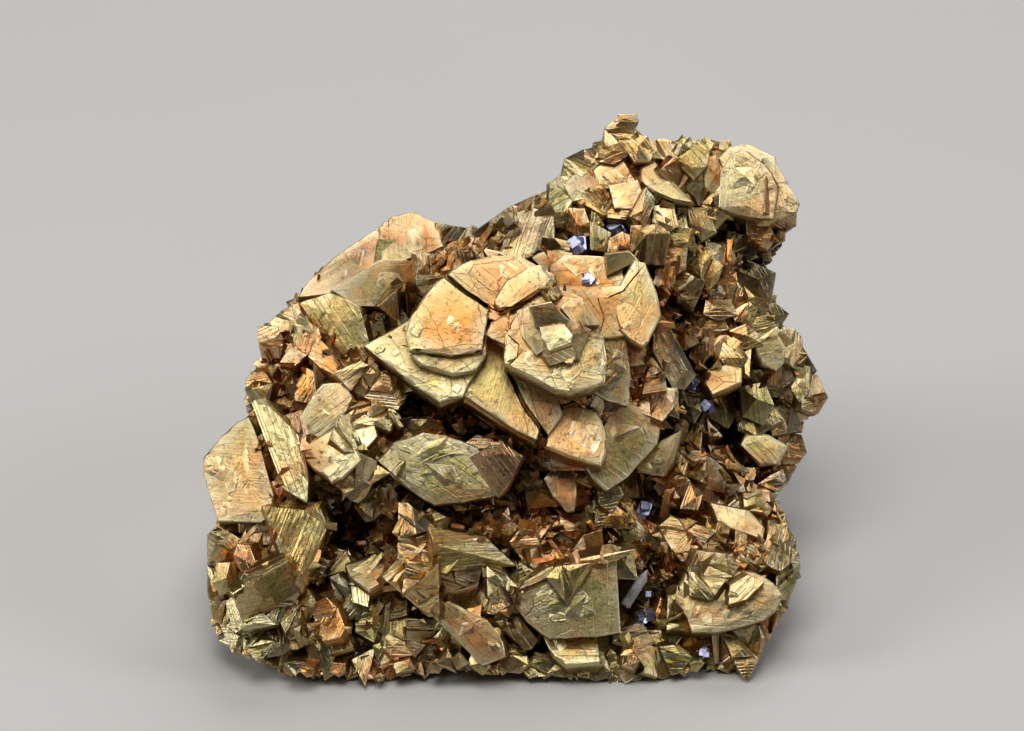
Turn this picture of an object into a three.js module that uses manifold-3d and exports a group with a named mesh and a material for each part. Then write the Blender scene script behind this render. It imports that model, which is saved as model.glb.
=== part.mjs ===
// A chalcopyrite specimen: one mass of intergrown, striated crystals, with small galena crystals and
// one quartz prism seated in it. Millimetres, +Z up, origin at the middle of the flat resting face.
//
// The crystal face leans back from upright, so places on it are given as across (to the right), up (up the
// face) and out (square out of the face). The front foot of the specimen is at up 0, out 0.

import * as THREE from 'three';
import { ConvexGeometry } from 'three/addons/geometries/ConvexGeometry.js';
import { mergeVertices } from 'three/addons/utils/BufferGeometryUtils.js';
import Module from 'manifold-3d';

const wasm = await Module();
wasm.setup();

// Driving dimensions, in millimetres unless they say otherwise.
const FACE_LEAN = 30; // degrees that the crystal face leans back from upright
const FOOT_TO_ORIGIN = 28; // from the front foot back to the middle of the resting face
const BACK_WALL = 55; // from the front foot back to the core's back wall
const SEAT_GAP = 0.35; // clearance between two minerals
const FLOOR_BLOCK = [200, 200, 60]; // what cuts the foot flat

// The core under the crystals.
const CORE_DEPTH_BEHIND = 4.2; // how far its front lies behind the crystal faces
const CORE_INSET = 3.4; // how far it stays inside the specimen's outline
const FOOT_HEIGHT = 8; // below this height up the face it comes out to the crystals
const EDGE_START = 0.8; // where its front begins to fall away towards the outline, as a share of the way
const EDGE_ROUNDING = 110; // how quickly it falls away there
const SIDE_FULLNESS = 1.5; // how square it stays towards its back
const CORE_ROUGHNESS = 0.1; // how far its sides and back are hollowed at most, against their distance
const CORE_TURNS = 24; // corners of each ring round it
const CORE_PASSES = [0.32, 0.6, 0.82, 1, 1.22, 1.5, 1.76]; // its rings, from the front's middle, 0, to 2

// The crystals of the face.
const RIM_DROP = 0.7; // how far a bevelled rim falls for each millimetre of its width
const ROOT_NARROWING = 0.74; // a crystal's root against its face
const ROOT_LENGTH = 1.3; // a root's length against the crystal's listed depth
const ROOT_SWING = 0.08; // how far a root swings to the core's middle, against its distance

// The crystals over the rest of the core.
const GROWN_PLACES = 165; // how many places are tried
const GROWN_SPREAD = [0.7548776662, 0.569840291]; // steps from one to the next that spread them evenly
const GROWN_PASSES = [1.04, 1.94]; // between which passes of the core they stand
const SMALLEST_GROWN = 4.5;
const LARGEST_GROWN = 9;
const EVEN_STEP = 1.1; // they are thinned where the core's turns lie closer than this

// The middles of a cube's edges: the corners of a galena crystal.
const CUBE_EDGES = [
  [1, 1, 0], [1, -1, 0], [-1, 1, 0], [-1, -1, 0], [1, 0, 1], [1, 0, -1],
  [-1, 0, 1], [-1, 0, -1], [0, 1, 1], [0, 1, -1], [0, -1, 1], [0, -1, -1],
];

// The crystals of the face. Out is the level of a crystal's face, up and side are the degrees by which it
// looks upward and to the right, deep is the length of its root, rim the width of its bevel, and tip a point
// on the face as across, up and height.
const CRYSTALS = [
  // left lobe and its rim
  { name: 'left_fan', out: 1, up: 8, side: -28, deep: 9,
    corners: [[-38.2, 37.8], [-43.9, 33.2], [-44.3, 30.5], [-42.5, 23.2], [-36.8, 23.4], [-35, 26],
      [-36, 32.5]] },
  { name: 'ochre_rim', out: 0, up: 5, side: -35, deep: 8,
    corners: [[-42.6, 22.4], [-44, 20.5], [-44.2, 13], [-43.4, 9], [-40.4, 7.4], [-38.5, 14],
      [-39.6, 20]] },
  { name: 'lobe_dark_face', out: 6, up: -38, side: 8, deep: 8,
    corners: [[-40, 13], [-36.7, 15.5], [-33.2, 17.2], [-30.7, 13], [-33.2, 11.2], [-38.7, 8.4]] },
  { name: 'foot_ledge_left', out: 0.5, up: 30, side: 0, deep: 5,
    corners: [[-34, 4.5], [-28, 4.2], [-28.4, 2.4], [-31.6, 1.8], [-35, 2.6]] },
  { name: 'sphenoid_down', out: 6, up: 6, side: 10, deep: 9, tip: [-30.1, 20.4, 2.2],
    corners: [[-36, 24.4], [-34.7, 25.1], [-29.5, 25.1], [-27.2, 21.6], [-29.6, 18.5], [-30.7, 13],
      [-33.6, 18.6]] },
  { name: 'striped_blade', out: 5, up: 6, side: -14, deep: 9, tip: [-34.6, 36.6, 1.6],
    corners: [[-37.2, 38.6], [-36, 40.2], [-33.2, 40.4], [-29.9, 31.5], [-29.9, 26.4], [-32.9, 28],
      [-36.4, 34.4]] },
  // left middle shelves
  { name: 'shelf_fan_low', out: 4, up: 20, side: -8, deep: 8,
    corners: [[-30.2, 33.5], [-26.3, 35.6], [-23.4, 34.4], [-22.6, 31.6], [-26.3, 29]] },
  { name: 'shelf_fan_high', out: 3.6, up: 22, side: 6, deep: 8,
    corners: [[-26, 34.8], [-25.3, 37.2], [-20.9, 37.5], [-20.3, 35.2], [-22.3, 33.2]] },
  { name: 'shelf_tooth', out: 3.2, up: 4, side: 0, deep: 8,
    corners: [[-26, 28.8], [-22.3, 32.2], [-20.3, 31.2], [-20.2, 29.7], [-22.5, 26]] },
  { name: 'brown_cheek', out: 2, up: 12, side: -10, deep: 8,
    corners: [[-30.4, 38], [-27.6, 42], [-24.8, 42.4], [-23.8, 40.4], [-28, 35.4]] },
  { name: 'rim_lump_tan', out: -4, up: 25, side: -25, deep: 7,
    corners: [[-36.2, 45], [-31.4, 44.3], [-32, 42], [-34, 41.2], [-36.4, 42.4]] },
  { name: 'rim_lump_low', out: -2, up: 15, side: -30, deep: 7,
    corners: [[-38.6, 43.6], [-36.4, 44.4], [-35.2, 42.4], [-35.8, 39.6], [-37.6, 39.2]] },
  { name: 'rim_block_low', out: -5, up: 15, side: -25, deep: 6,
    corners: [[-36.8, 50.4], [-34.3, 50.4], [-33.8, 48.8], [-34, 46.6], [-36.4, 46.2]] },
  { name: 'lower_brown_rib', out: 2, up: 10, side: 0, deep: 7,
    corners: [[-25.6, 44], [-22, 45.4], [-18.4, 43.4], [-17.2, 39.2], [-23.2, 41.8]] },
  // upper left ridge
  { name: 'ridge_low_plate', out: -10, up: 52, side: -18, deep: 8,
    corners: [[-31.4, 54.2], [-26.3, 60.3], [-22.6, 60.2], [-21.6, 58.6], [-28.4, 54.8]] },
  { name: 'ridge_mid_plate', out: -13, up: 52, side: -12, deep: 8,
    corners: [[-26.4, 60.1], [-19.8, 64.9], [-17.2, 61], [-20.6, 58.8], [-24, 58.6]] },
  { name: 'ridge_high_plate', out: -15, up: 50, side: -6, deep: 8,
    corners: [[-20.2, 64.7], [-15.2, 66.8], [-14.2, 62], [-16.6, 60.8], [-19, 61.6]] },
  { name: 'ridge_end_plate', out: -15, up: 42, side: 10, deep: 8,
    corners: [[-15.2, 66.6], [-10.6, 65.4], [-9.4, 63.2], [-11.4, 61.8], [-15, 62.2]] },
  { name: 'striated_wedge', out: -2.5, up: 12, side: -14, deep: 9,
    corners: [[-30.3, 54.2], [-26.3, 55.6], [-22.2, 53.3], [-21.2, 50.5], [-21.5, 45.4], [-24, 46.2],
      [-28.8, 51]] },
  { name: 'olive_block', out: -5, up: 42, side: 4, deep: 9, rim: 2,
    corners: [[-26.3, 55.7], [-22.8, 58], [-19.6, 59.5], [-14.4, 60.4], [-14.2, 56.3], [-18.8, 53.8],
      [-22.4, 54.2]] },
  // the stepped rosette in the middle
  { name: 'ledge_left', out: 2.5, up: 26, side: -8, deep: 9, rim: 3,
    corners: [[-21.2, 47.7], [-15.6, 50], [-11.6, 47], [-11, 44.2], [-13, 43]] },
  { name: 'ledge_middle', out: 3, up: 24, side: 0, deep: 9, rim: 2.5,
    corners: [[-15.2, 44.6], [-12.6, 47], [-8, 46], [-7.2, 43.4], [-10.8, 40.6]] },
  { name: 'ledge_cracked', out: 3, up: 20, side: 4, deep: 9, rim: 2,
    corners: [[-8.1, 41.5], [-7.4, 44.8], [-3.4, 44.8], [-3.4, 43.4], [-4.9, 40.1]] },
  { name: 'ledge_right', out: 3, up: 16, side: 6, deep: 9, rim: 3,
    corners: [[-4.7, 40], [-3.2, 43.6], [-1, 44.8], [2.7, 37], [2.4, 35.1]] },
  { name: 'plate_left_under', out: 4.4, up: 16, side: 2, deep: 8, rim: 1.5,
    corners: [[-14.2, 50], [-11, 54], [-5, 52], [-5, 47.6], [-6.4, 45.1], [-9.6, 45], [-12.9, 46.1]] },
  { name: 'plate_left_top', out: 5.2, up: 16, side: 2, deep: 7,
    corners: [[-15.4, 49.4], [-12.5, 55], [-10.3, 57.2], [-4.5, 53.5], [-5.4, 47.8], [-10.2, 47],
      [-14.4, 47.7]] },
  { name: 'plate_back', out: 3.4, up: 32, side: -4, deep: 8,
    corners: [[-9.9, 57.7], [-4.6, 61], [0.2, 61], [2.6, 59.4], [1, 56], [-2.2, 53.6], [-4.1, 53.9]] },
  { name: 'plate_top_pale', out: 5.4, up: 24, side: 4, deep: 7,
    corners: [[-2.4, 54.5], [0, 57.9], [2.7, 59.1], [4.8, 57], [-0.1, 54.1]] },
  { name: 'rosette_base', out: 7, up: 8, side: 4, deep: 9, rim: 2.2,
    corners: [[-0.9, 49.8], [1.6, 52.4], [9.6, 53.9], [12.1, 49.4], [12.1, 43.2], [7.2, 42], [-1, 45.8]] },
  { name: 'rosette_left_chip', out: 6, up: 14, side: -20, deep: 8, rim: 1.5,
    corners: [[-3.9, 49.8], [-3.1, 51], [-1, 52.2], [0.3, 50.6], [-1, 48.5]] },
  { name: 'rosette_crystal', out: 11, up: 10, side: 6, deep: 8, tip: [5.8, 49.4, 1.3],
    corners: [[3.9, 50.7], [7.6, 51.4], [10.2, 49.7], [7.6, 45.9], [5, 45.7]] },
  { name: 'plate_right_low', out: 2.8, up: 6, side: 6, deep: 8,
    corners: [[11.8, 48.6], [15.5, 47.2], [15.7, 40.2], [13.3, 40.9], [12, 42.6]] },
  { name: 'plate_right_orange', out: 1.8, up: 20, side: 2, deep: 8, rim: 1.5,
    corners: [[9.7, 54.3], [10.6, 55.8], [15.2, 56.4], [16.4, 53], [11.4, 50]] },
  { name: 'plate_right_pale', out: 2, up: 14, side: 14, deep: 8,
    corners: [[15.2, 58.2], [17, 59.9], [19.9, 52.4], [18.2, 48.6], [15.6, 52]] },
  { name: 'orange_bed', out: -2, up: 38, side: 0, deep: 8,
    corners: [[5.2, 57.2], [9.3, 60.8], [12.4, 60.4], [15.2, 56], [10, 55]] },
  { name: 'under_plate_pale', out: 2, up: 6, side: 4, deep: 8,
    corners: [[6.3, 39], [9, 39.6], [12.3, 33.8], [10.6, 31.7], [5.9, 33.8]] },
  { name: 'under_dark_wall', out: -1, up: -25, side: 0, deep: 8,
    corners: [[-2, 42.4], [4.2, 43.4], [11.6, 42], [11, 39], [4, 38], [0.4, 38.6]] },
  { name: 'under_dark_keel', out: -2, up: -28, side: 0, deep: 7,
    corners: [[0, 36.4], [10.6, 31.9], [9.6, 30.4], [3, 30.6], [0, 33]] },
  // middle band and the leaf
  { name: 'leaf_plate', out: 2.4, up: 16, side: 2, deep: 8, rim: 2.2,
    corners: [[-19, 31.8], [-17.3, 33.9], [-8, 34.4], [-5, 31.8], [-3.1, 26.7], [-11.6, 26.1],
      [-17.2, 29.8]] },
  { name: 'leaf_point', out: 3.2, up: 30, side: -30, deep: 5,
    corners: [[-19, 31.7], [-17.3, 34], [-16.8, 31.2], [-17.4, 30.2]] },
  { name: 'inverted_tooth', out: 3.4, up: 4, side: -8, deep: 7,
    corners: [[-6.1, 32], [-2.2, 34], [-1.2, 30], [-1.4, 28.2], [-2.6, 26.7]] },
  { name: 'fan_right', out: -1.6, up: 0, side: 10, deep: 9, tip: [15, 34.6, 0.8],
    corners: [[12.4, 38.6], [14.4, 40.2], [16.4, 39.6], [19.9, 36.2], [19.5, 33.7], [12.5, 27.3],
      [11.2, 30.8]] },
  { name: 'fan_right_wing', out: -3.6, up: 2, side: -14, deep: 8,
    corners: [[16.8, 31.4], [21.6, 36.6], [23.2, 35.3], [21.2, 29.7], [18.6, 29.6]] },
  // lower middle
  { name: 'square_face', out: 3, up: 4, side: -22, deep: 8,
    corners: [[-16.6, 24.8], [-12.4, 21.8], [-11.8, 19], [-12, 16.6], [-16.8, 17]] },
  { name: 'striped_sphenoid', out: 4, up: 4, side: 16, deep: 8,
    corners: [[-12.2, 21.7], [-8, 21.3], [-5, 20.5], [-0.5, 16.6], [-5, 16.4], [-10.6, 16.1],
      [-11.8, 16.8]] },
  { name: 'sphenoid_underside', out: 2.6, up: -32, side: 6, deep: 8,
    corners: [[-10.9, 16], [-3.6, 16.6], [-7.2, 12.2], [-10.9, 10.4], [-11.3, 13]] },
  { name: 'lower_sphenoid', out: 4.6, up: -4, side: -14, deep: 8,
    corners: [[-18.7, 15], [-16.8, 17], [-11.2, 16.4], [-11.2, 12], [-13, 10]] },
  { name: 'sloping_plate', out: 4.4, up: 18, side: -8, deep: 8,
    corners: [[-11.8, 10], [-9.4, 11.4], [-4.5, 8.8], [-2, 4], [-5.1, 3.4]] },
  { name: 'brown_triangle', out: 1.6, up: -14, side: 6, deep: 7,
    corners: [[-13.8, 3.1], [-10, 5], [-10.5, 7.6], [-15.4, 8.8], [-15, 5.5]] },
  { name: 'gold_ledge_low', out: 0, up: 34, side: 0, deep: 5,
    corners: [[-24.6, 2.6], [-17, 2.9], [-13.8, 1.4], [-18.5, 0.6], [-24, 1]] },
  { name: 'big_plate', out: 3.6, up: 5, side: 6, deep: 9,
    corners: [[0.4, 11.8], [1.2, 14], [10, 17], [14.9, 17.7], [14.5, 7.3], [10, 6.8], [4.4, 7.5]] },
  { name: 'lower_block', out: 2.6, up: 28, side: 0, deep: 7,
    corners: [[4.3, 6.5], [10.9, 6.4], [11.6, 3.2], [7.3, 3.1], [5.7, 4.2]] },
  { name: 'brown_prism', out: -2, up: 2, side: -16, deep: 8,
    corners: [[19.7, 19.4], [22.3, 19.6], [22.8, 16.3], [22.6, 10.9], [19.7, 10.4]] },
  { name: 'olive_prism', out: -1, up: 6, side: 8, deep: 7,
    corners: [[22, 12.6], [23.8, 13.6], [25.2, 11.2], [25.3, 7.5], [21.8, 7.8]] },
  { name: 'foot_hexagon', out: 0.8, up: 10, side: 6, deep: 5,
    corners: [[19.6, 4.6], [22.4, 4.8], [24.8, 3.4], [20.8, 0.4], [18.6, 1.6]] },
  // lower right lobe
  { name: 'round_crystal', out: 2, up: 2, side: 8, deep: 10,
    corners: [[24.2, 12.4], [25.2, 16.2], [34.6, 15.6], [38, 13], [36.5, 10], [27.5, 7.4], [25.7, 8]] },
  { name: 'foot_corner', out: 0, up: 2, side: 10, deep: 8,
    corners: [[30.2, 6], [32.2, 8.5], [34.5, 7.6], [35.3, 4.4], [33, 0.5]] },
  { name: 'foot_dark_tooth', out: 0, up: -20, side: -10, deep: 7,
    corners: [[26, 6.6], [28.6, 7.4], [31.6, 5], [32.6, 1.4], [27.4, 2.4]] },
  { name: 'slab_left', out: -3, up: 14, side: -8, deep: 8,
    corners: [[20.9, 22], [22.4, 23.3], [24.3, 21.8], [26.3, 17], [23.6, 17.7]] },
  // right recess and right lobe
  { name: 'tan_pillar', out: -10, up: 4, side: 4, deep: 8,
    corners: [[27.2, 31.8], [28.8, 30.8], [29.4, 27.4], [26.2, 23.7], [26, 28]] },
  { name: 'grey_stripes', out: -8, up: 18, side: -4, deep: 7,
    corners: [[22.2, 30.4], [23, 32.8], [26.8, 32.6], [27.2, 30], [26.3, 29]] },
  { name: 'grey_lump', out: -7, up: 12, side: 0, deep: 7,
    corners: [[20.2, 27.8], [24, 29], [26.3, 26.8], [25.8, 24.8], [21.8, 25.2]] },
  { name: 'lobe_pale_crystal', out: -17, up: 12, side: 4, deep: 7,
    corners: [[32.7, 33.7], [33.5, 35], [38.7, 33.6], [37.4, 31.4], [35.2, 31.4]] },
  { name: 'lobe_dark_foot', out: -22, up: 0, side: 25, deep: 8,
    corners: [[38.2, 35.6], [41.2, 35.2], [41.5, 32.5], [39.1, 28], [37.6, 31]] },
  { name: 'lobe_brown_low', out: -20, up: 5, side: 10, deep: 8,
    corners: [[36, 38.6], [39.4, 39.2], [41, 37.4], [41, 35.8], [37.2, 35.4]] },
  { name: 'lobe_tip', out: -20, up: 10, side: 20, deep: 8,
    corners: [[41.2, 43.4], [43.4, 44], [44.5, 40.7], [43.4, 38.6], [41.4, 39.4]] },
  { name: 'lobe_edge_high', out: -21, up: 10, side: 35, deep: 8,
    corners: [[40, 48], [41.4, 47.8], [43.4, 44.4], [42.6, 43.4], [40.4, 45.4]] },
  { name: 'lobe_dark_mid', out: -18, up: -10, side: 5, deep: 7,
    corners: [[35.4, 44.4], [38.4, 45], [40, 43.8], [39.6, 40.6], [36.4, 41.2]] },
  { name: 'lobe_dark_fan', out: -17, up: 0, side: 0, deep: 7, tip: [34.6, 40.4, 1],
    corners: [[32.6, 41.8], [35.6, 42.4], [36.6, 39.6], [35.4, 37], [33, 38.2]] },
  { name: 'lobe_facets_low', out: -18, up: 5, side: -5, deep: 7,
    corners: [[32, 38.4], [35, 39], [36.6, 36.6], [34.6, 35.2], [32.4, 36]] },
  { name: 'lobe_face_tan', out: -15.4, up: 14, side: 6, deep: 8,
    corners: [[32.4, 52.4], [35.5, 53.5], [37.5, 50.3], [37.2, 49.2], [34.8, 48.9]] },
  { name: 'lobe_face_yellow', out: -14.6, up: 8, side: 10, deep: 8,
    corners: [[34.8, 49.4], [37.3, 49.7], [38.3, 47.5], [37.2, 44.9], [35.6, 45.7]] },
  { name: 'lobe_outer_tan', out: -17, up: 10, side: 22, deep: 7,
    corners: [[38, 50], [40, 50.1], [40.9, 48.8], [40.3, 45.1], [38.4, 46.4]] },
  { name: 'lobe_ledge_orange', out: -13.6, up: 12, side: -4, deep: 7,
    corners: [[27.5, 50.2], [31.9, 48.5], [30, 46.4], [28.4, 46.4], [27.4, 47.8]] },
  { name: 'flake_shelf', out: -11, up: 26, side: -2, deep: 7,
    corners: [[25.2, 44.4], [27, 45], [32.1, 44.6], [31.8, 42.9], [27.7, 40.9]] },
  { name: 'right_dark_crown', out: -17, up: 6, side: 12, deep: 9, tip: [34.8, 57.6, 1],
    corners: [[30.5, 59.4], [36, 59.5], [37.1, 56], [35, 53.9], [32.8, 55]] },
  { name: 'salmon_blade', out: -14.4, up: 6, side: -6, deep: 7,
    corners: [[29.7, 58.2], [30.5, 58.2], [33.3, 55], [32.3, 51.9], [31.5, 52]] },
  { name: 'dark_blade', out: -5, up: 8, side: 42, deep: 9,
    corners: [[20.2, 52.6], [25.1, 45.2], [24.2, 42.2], [22, 43.4], [20.4, 46.5]] },
  { name: 'blade_edge', out: -4.4, up: 4, side: -10, deep: 7,
    corners: [[18.4, 49.6], [19.8, 50.4], [23.4, 41.6], [22.6, 40.2], [19.2, 46]] },
  { name: 'copper_facet', out: -3.4, up: 8, side: 6, deep: 7,
    corners: [[16.9, 48], [20.6, 44.8], [21.4, 42.3], [19.4, 41.8], [17.2, 43.8]] },
  // upper right tower
  { name: 'olive_rectangle', out: -8, up: -4, side: 4, deep: 8,
    corners: [[16.8, 64.8], [20.5, 65], [21.7, 63.5], [21, 60], [16.7, 61.5]] },
  { name: 'tan_block_mid', out: -8, up: 14, side: 0, deep: 7,
    corners: [[14, 64], [16.3, 63.9], [16.8, 61], [15.3, 60.4], [13.4, 60.9]] },
  { name: 'upper_pale_mass', out: -7, up: 30, side: -6, deep: 9, tip: [1.4, 64.6, 0.8],
    corners: [[-2, 61.4], [0, 66.6], [5, 66.2], [5.1, 63.3], [0.6, 60.4]] },
  { name: 'mass_pink_block', out: -5, up: 18, side: 0, deep: 7,
    corners: [[2.6, 60.6], [5, 61.6], [7.7, 61.1], [7.1, 58.7], [4.9, 58.7]] },
  { name: 'rough_gold', out: -12, up: 30, side: -8, deep: 8,
    corners: [[4.8, 70.9], [8.9, 68.2], [7.6, 65.4], [6.2, 65.4], [5, 67.6]] },
  { name: 'slab_pale', out: -13, up: 34, side: -6, deep: 8,
    corners: [[6.8, 71.3], [11, 73.9], [12.5, 70.7], [10.5, 69.7], [8.4, 69.1]] },
  { name: 'slab_under', out: -11.6, up: 10, side: -4, deep: 7,
    corners: [[8.4, 69], [12.4, 70.6], [12.9, 68.4], [10, 66.8], [8.8, 67.2]] },
  { name: 'block_grey_gold', out: -12.6, up: 16, side: 0, deep: 7,
    corners: [[11.3, 74.1], [15.1, 74.2], [16, 73], [15.3, 71.3], [12.3, 71]] },
  { name: 'facet_white', out: -10.4, up: 12, side: 4, deep: 7,
    corners: [[13.8, 70.7], [17.2, 71.4], [17.8, 69.2], [16.5, 68.1], [14.5, 68.1]] },
  { name: 'long_blade', out: -11.4, up: 26, side: 8, deep: 8, rim: 1.6,
    corners: [[18.4, 73.4], [20, 74.2], [25.1, 68.8], [22.5, 69.3], [18.4, 71.6]] },
  { name: 'brown_slab', out: -12.6, up: 2, side: 18, deep: 8,
    corners: [[21, 72.8], [22.8, 74.7], [25.4, 72.3], [26.3, 70], [24.8, 68.6]] },
  { name: 'twin_blade', out: -12, up: 14, side: -6, deep: 8, tip: [26, 75.4, 0.8],
    corners: [[23.2, 74.8], [24.3, 76.9], [26.3, 77.7], [28.1, 76], [25.5, 72.3]] },
  { name: 'neck_facet', out: -12.6, up: 8, side: 4, deep: 7,
    corners: [[27, 74.9], [28.7, 74.9], [30, 72.4], [30.1, 70.3], [27.4, 70.5]] },
  { name: 'neck_lower', out: -13, up: 8, side: 0, deep: 7,
    corners: [[27, 68.2], [29.6, 68.4], [30.4, 67], [28.4, 64.8], [26.8, 66]] },
  { name: 'dark_column', out: -13, up: 0, side: 0, deep: 8,
    corners: [[24.1, 61.8], [26, 61.4], [26.6, 57], [25.4, 53.4], [23.4, 54.6]] },
  { name: 'orange_spear', out: -12.6, up: 6, side: 6, deep: 7,
    corners: [[25.9, 62.5], [28, 61.4], [29.3, 59.5], [27.7, 56.3], [26.8, 58.2]] },
  { name: 'notch_dark', out: -17, up: -8, side: 10, deep: 9,
    corners: [[30.8, 64.2], [33.4, 63.4], [34.3, 61], [32.8, 60.2], [31, 60.8]] },
  { name: 'cap_underside', out: -12.6, up: -50, side: 4, deep: 8,
    corners: [[36, 67], [40.3, 67.3], [39.8, 65.3], [37, 64.4], [35.6, 65.4]] },
  { name: 'cap_front', out: -10.4, up: 12, side: -6, deep: 9,
    corners: [[29.6, 69], [30.2, 74.6], [32.6, 75.2], [35.4, 73.4], [37, 70.8], [36.4, 66.7], [30, 67.8]] },
  { name: 'cap_right', out: -11.4, up: 14, side: 26, deep: 9,
    corners: [[36, 74.8], [38.3, 73], [40.4, 69.4], [40, 67.1], [36.3, 66.7]] },
  { name: 'cap_top', out: -13, up: 40, side: 8, deep: 8,
    corners: [[29.6, 75], [33.5, 77.1], [36.7, 75.1], [37.6, 72.8], [34.6, 71.8]] },
  { name: 'pinnacle_base', out: -14, up: 20, side: 0, deep: 8,
    corners: [[12.6, 77.4], [14.3, 80], [17.3, 78.4], [16, 76.8], [13.6, 76.4]] },
  { name: 'pinnacle_tip', out: -14, up: 10, side: 6, deep: 5,
    corners: [[14.2, 79.6], [15, 81], [17, 81], [17.2, 80.2], [16.1, 79.2]] },
  { name: 'pale_block_top', out: -12.6, up: 22, side: 4, deep: 8, tip: [17.6, 76.8, 0.8],
    corners: [[15.2, 77.3], [17.5, 78.4], [18.9, 78.1], [19, 74.9], [17.2, 74.9]] },
  { name: 'crest_lump_left', out: -15, up: 35, side: -20, deep: 8,
    corners: [[6.4, 72.4], [7.4, 74.8], [11.8, 76.8], [12, 74.6], [7.6, 71.6]] },
  { name: 'crest_ridge', out: -13.6, up: 26, side: 6, deep: 8,
    corners: [[19, 77.6], [21.2, 77.8], [23.6, 77.2], [24.2, 75.4], [19.4, 75.4]] },
  { name: 'crest_back_left', out: -17, up: 40, side: -10, deep: 8,
    corners: [[-6, 64.4], [-1, 68], [5, 70.6], [5.4, 68.4], [-5, 62.6]] },
];

// The specimen's outline square to the face, clockwise from its left foot: [across, up].
const OUTLINE = [
  [-33.5, 1.2], [-36.5, 2.9], [-41.5, 5], [-43.4, 8], [-44.3, 14], [-43.5, 20], [-42.8, 23], [-44, 29],
  [-43.2, 33.5], [-40, 37], [-38.3, 38.5], [-39.4, 42], [-37, 45.5], [-36.5, 49.8], [-33.5, 52.8], [-29.8, 57.2],
  [-26, 60.8], [-21, 64], [-16, 66.5], [-10, 65.5], [-5, 65], [0, 68.8], [4.6, 70.2], [7.8, 74.8],
  [12, 77.4], [15.4, 80.2], [19, 78], [26.3, 77.7], [33.3, 77], [37.6, 73.6], [40.6, 68], [38.6, 63.6],
  [35.8, 59.5], [37.4, 55], [39, 50.5], [42, 46.8], [44.3, 41], [41.6, 36.6], [40.4, 31], [37.4, 26.2],
  [39.8, 20.3], [40.8, 15], [38, 9.5], [34.5, 3.5], [31, 1.4], [26, 1.8], [20, 0.2], [14, 0],
  [7, 0.6], [0, 1], [-8, 1.8], [-14, 1.2], [-20, 0.2], [-27, 0.8],
];
const OUTLINE_CENTRE = [0, 36];

// Hollows between the crystals: [across, up, radius, how much deeper than the faces round it].
const HOLLOWS = [
  [-23, 22, 4.2, 9], [-14.5, 38, 3.6, 5], [-6, 36.5, 3, 3], [31, 34.5, 5.5, 6], [24.5, 54, 3.4, 4],
  [33.5, 62, 3.6, 7], [17, 11.5, 2.2, 4], [29, 13.6, 2, 3], [-20, 9.5, 2.4, 3], [2, 32.5, 5, 4],
  [-27, 39, 3, 2], [20, 26.5, 3, 3], [-35, 24, 2, 3],
];

// The galena crystals: at is across, up and out, turn is in radians, also lists smaller cubes beside it.
const GALENA = [
  { name: 'star', at: [9.2, 62.4, -9.8], size: 3, turn: [0.4, 0.5, 0.2],
    also: [[-0.9, 0.5, 0, 0.62], [1.1, -0.7, 0, 0.55]] },
  { name: 'lilac', at: [14.4, 64.9, -12.9], size: 3, turn: [0.9, 0.2, 0.5], also: [[1.1, -0.2, -0.1, 0.6]] },
  { name: 'upper', at: [10.5, 57.3, -2.3], size: 2.5, turn: [0.2, 0.7, 0.4], also: [] },
  { name: 'chain_left', at: [25.4, 42.3, -12.2], size: 2.2, turn: [0.6, 0.3, 0.8], also: [] },
  { name: 'chain_right', at: [27.3, 39.3, -15.6], size: 2.2, turn: [0.1, 0.8, 0.3], also: [] },
  { name: 'middle', at: [18.6, 24.5, -9.3], size: 3, turn: [0.5, 0.9, 0.1], also: [[-0.3, -1.2, 0, 0.7]] },
  { name: 'lower', at: [18.7, 9.1, -4], size: 2.6, turn: [0.8, 0.4, 0.6], also: [] },
  { name: 'lower_bright', at: [19, 12.4, -4.4], size: 1.3, turn: [0.3, 0.3, 0.9], also: [] },
  { name: 'foot', at: [26.8, 4.1, -0.8], size: 1.7, turn: [0.7, 0.1, 0.3], also: [] },
];

// The quartz prism, as across, up and out of its foot and its tip.
const QUARTZ = { foot: [15.6, 10.8, -3.5], tip: [18.9, 16, -4.6], width: 1.6 };

const radians = (degrees) => (degrees * Math.PI) / 180;
const LEAN_SIN = Math.sin(radians(FACE_LEAN));
const LEAN_COS = Math.cos(radians(FACE_LEAN));

// A place on the face, in the specimen's own frame.
function place(across, up, out) {
  const y = up * LEAN_SIN - out * LEAN_COS - FOOT_TO_ORIGIN;
  return new THREE.Vector3(across, y, up * LEAN_COS + out * LEAN_SIN);
}

// The same random numbers on every run.
function seeded(seed) {
  let state = seed;
  return () => {
    state = (state + 0x6d2b79f5) | 0;
    let mixed = Math.imul(state ^ (state >>> 15), 1 | state);
    mixed = (mixed + Math.imul(mixed ^ (mixed >>> 7), 61 | mixed)) ^ mixed;
    return ((mixed ^ (mixed >>> 14)) >>> 0) / 4294967296;
  };
}

function middle(corners) {
  const sum = corners.reduce((total, [a, u]) => [total[0] + a, total[1] + u], [0, 0]);
  return [sum[0] / corners.length, sum[1] / corners.length];
}

// A closed geometry as a solid that can be joined and cut.
function solid(geometry) {
  const bare = geometry.index ? geometry.toNonIndexed() : geometry.clone();
  bare.deleteAttribute('normal');
  bare.deleteAttribute('uv');
  const merged = mergeVertices(bare, 1e-4);
  return new wasm.Manifold(new wasm.Mesh({
    numProp: 3,
    vertProperties: new Float32Array(merged.attributes.position.array),
    triVerts: new Uint32Array(merged.index.array),
  }));
}

function geometryOf(manifold) {
  const mesh = manifold.getMesh();
  const geometry = new THREE.BufferGeometry();
  geometry.setAttribute('position', new THREE.BufferAttribute(mesh.vertProperties, 3));
  geometry.setIndex(new THREE.BufferAttribute(mesh.triVerts, 1));
  const faceted = geometry.toNonIndexed();
  faceted.computeVertexNormals();
  return faceted;
}

const hull = (points) => solid(new ConvexGeometry(points));

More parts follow.
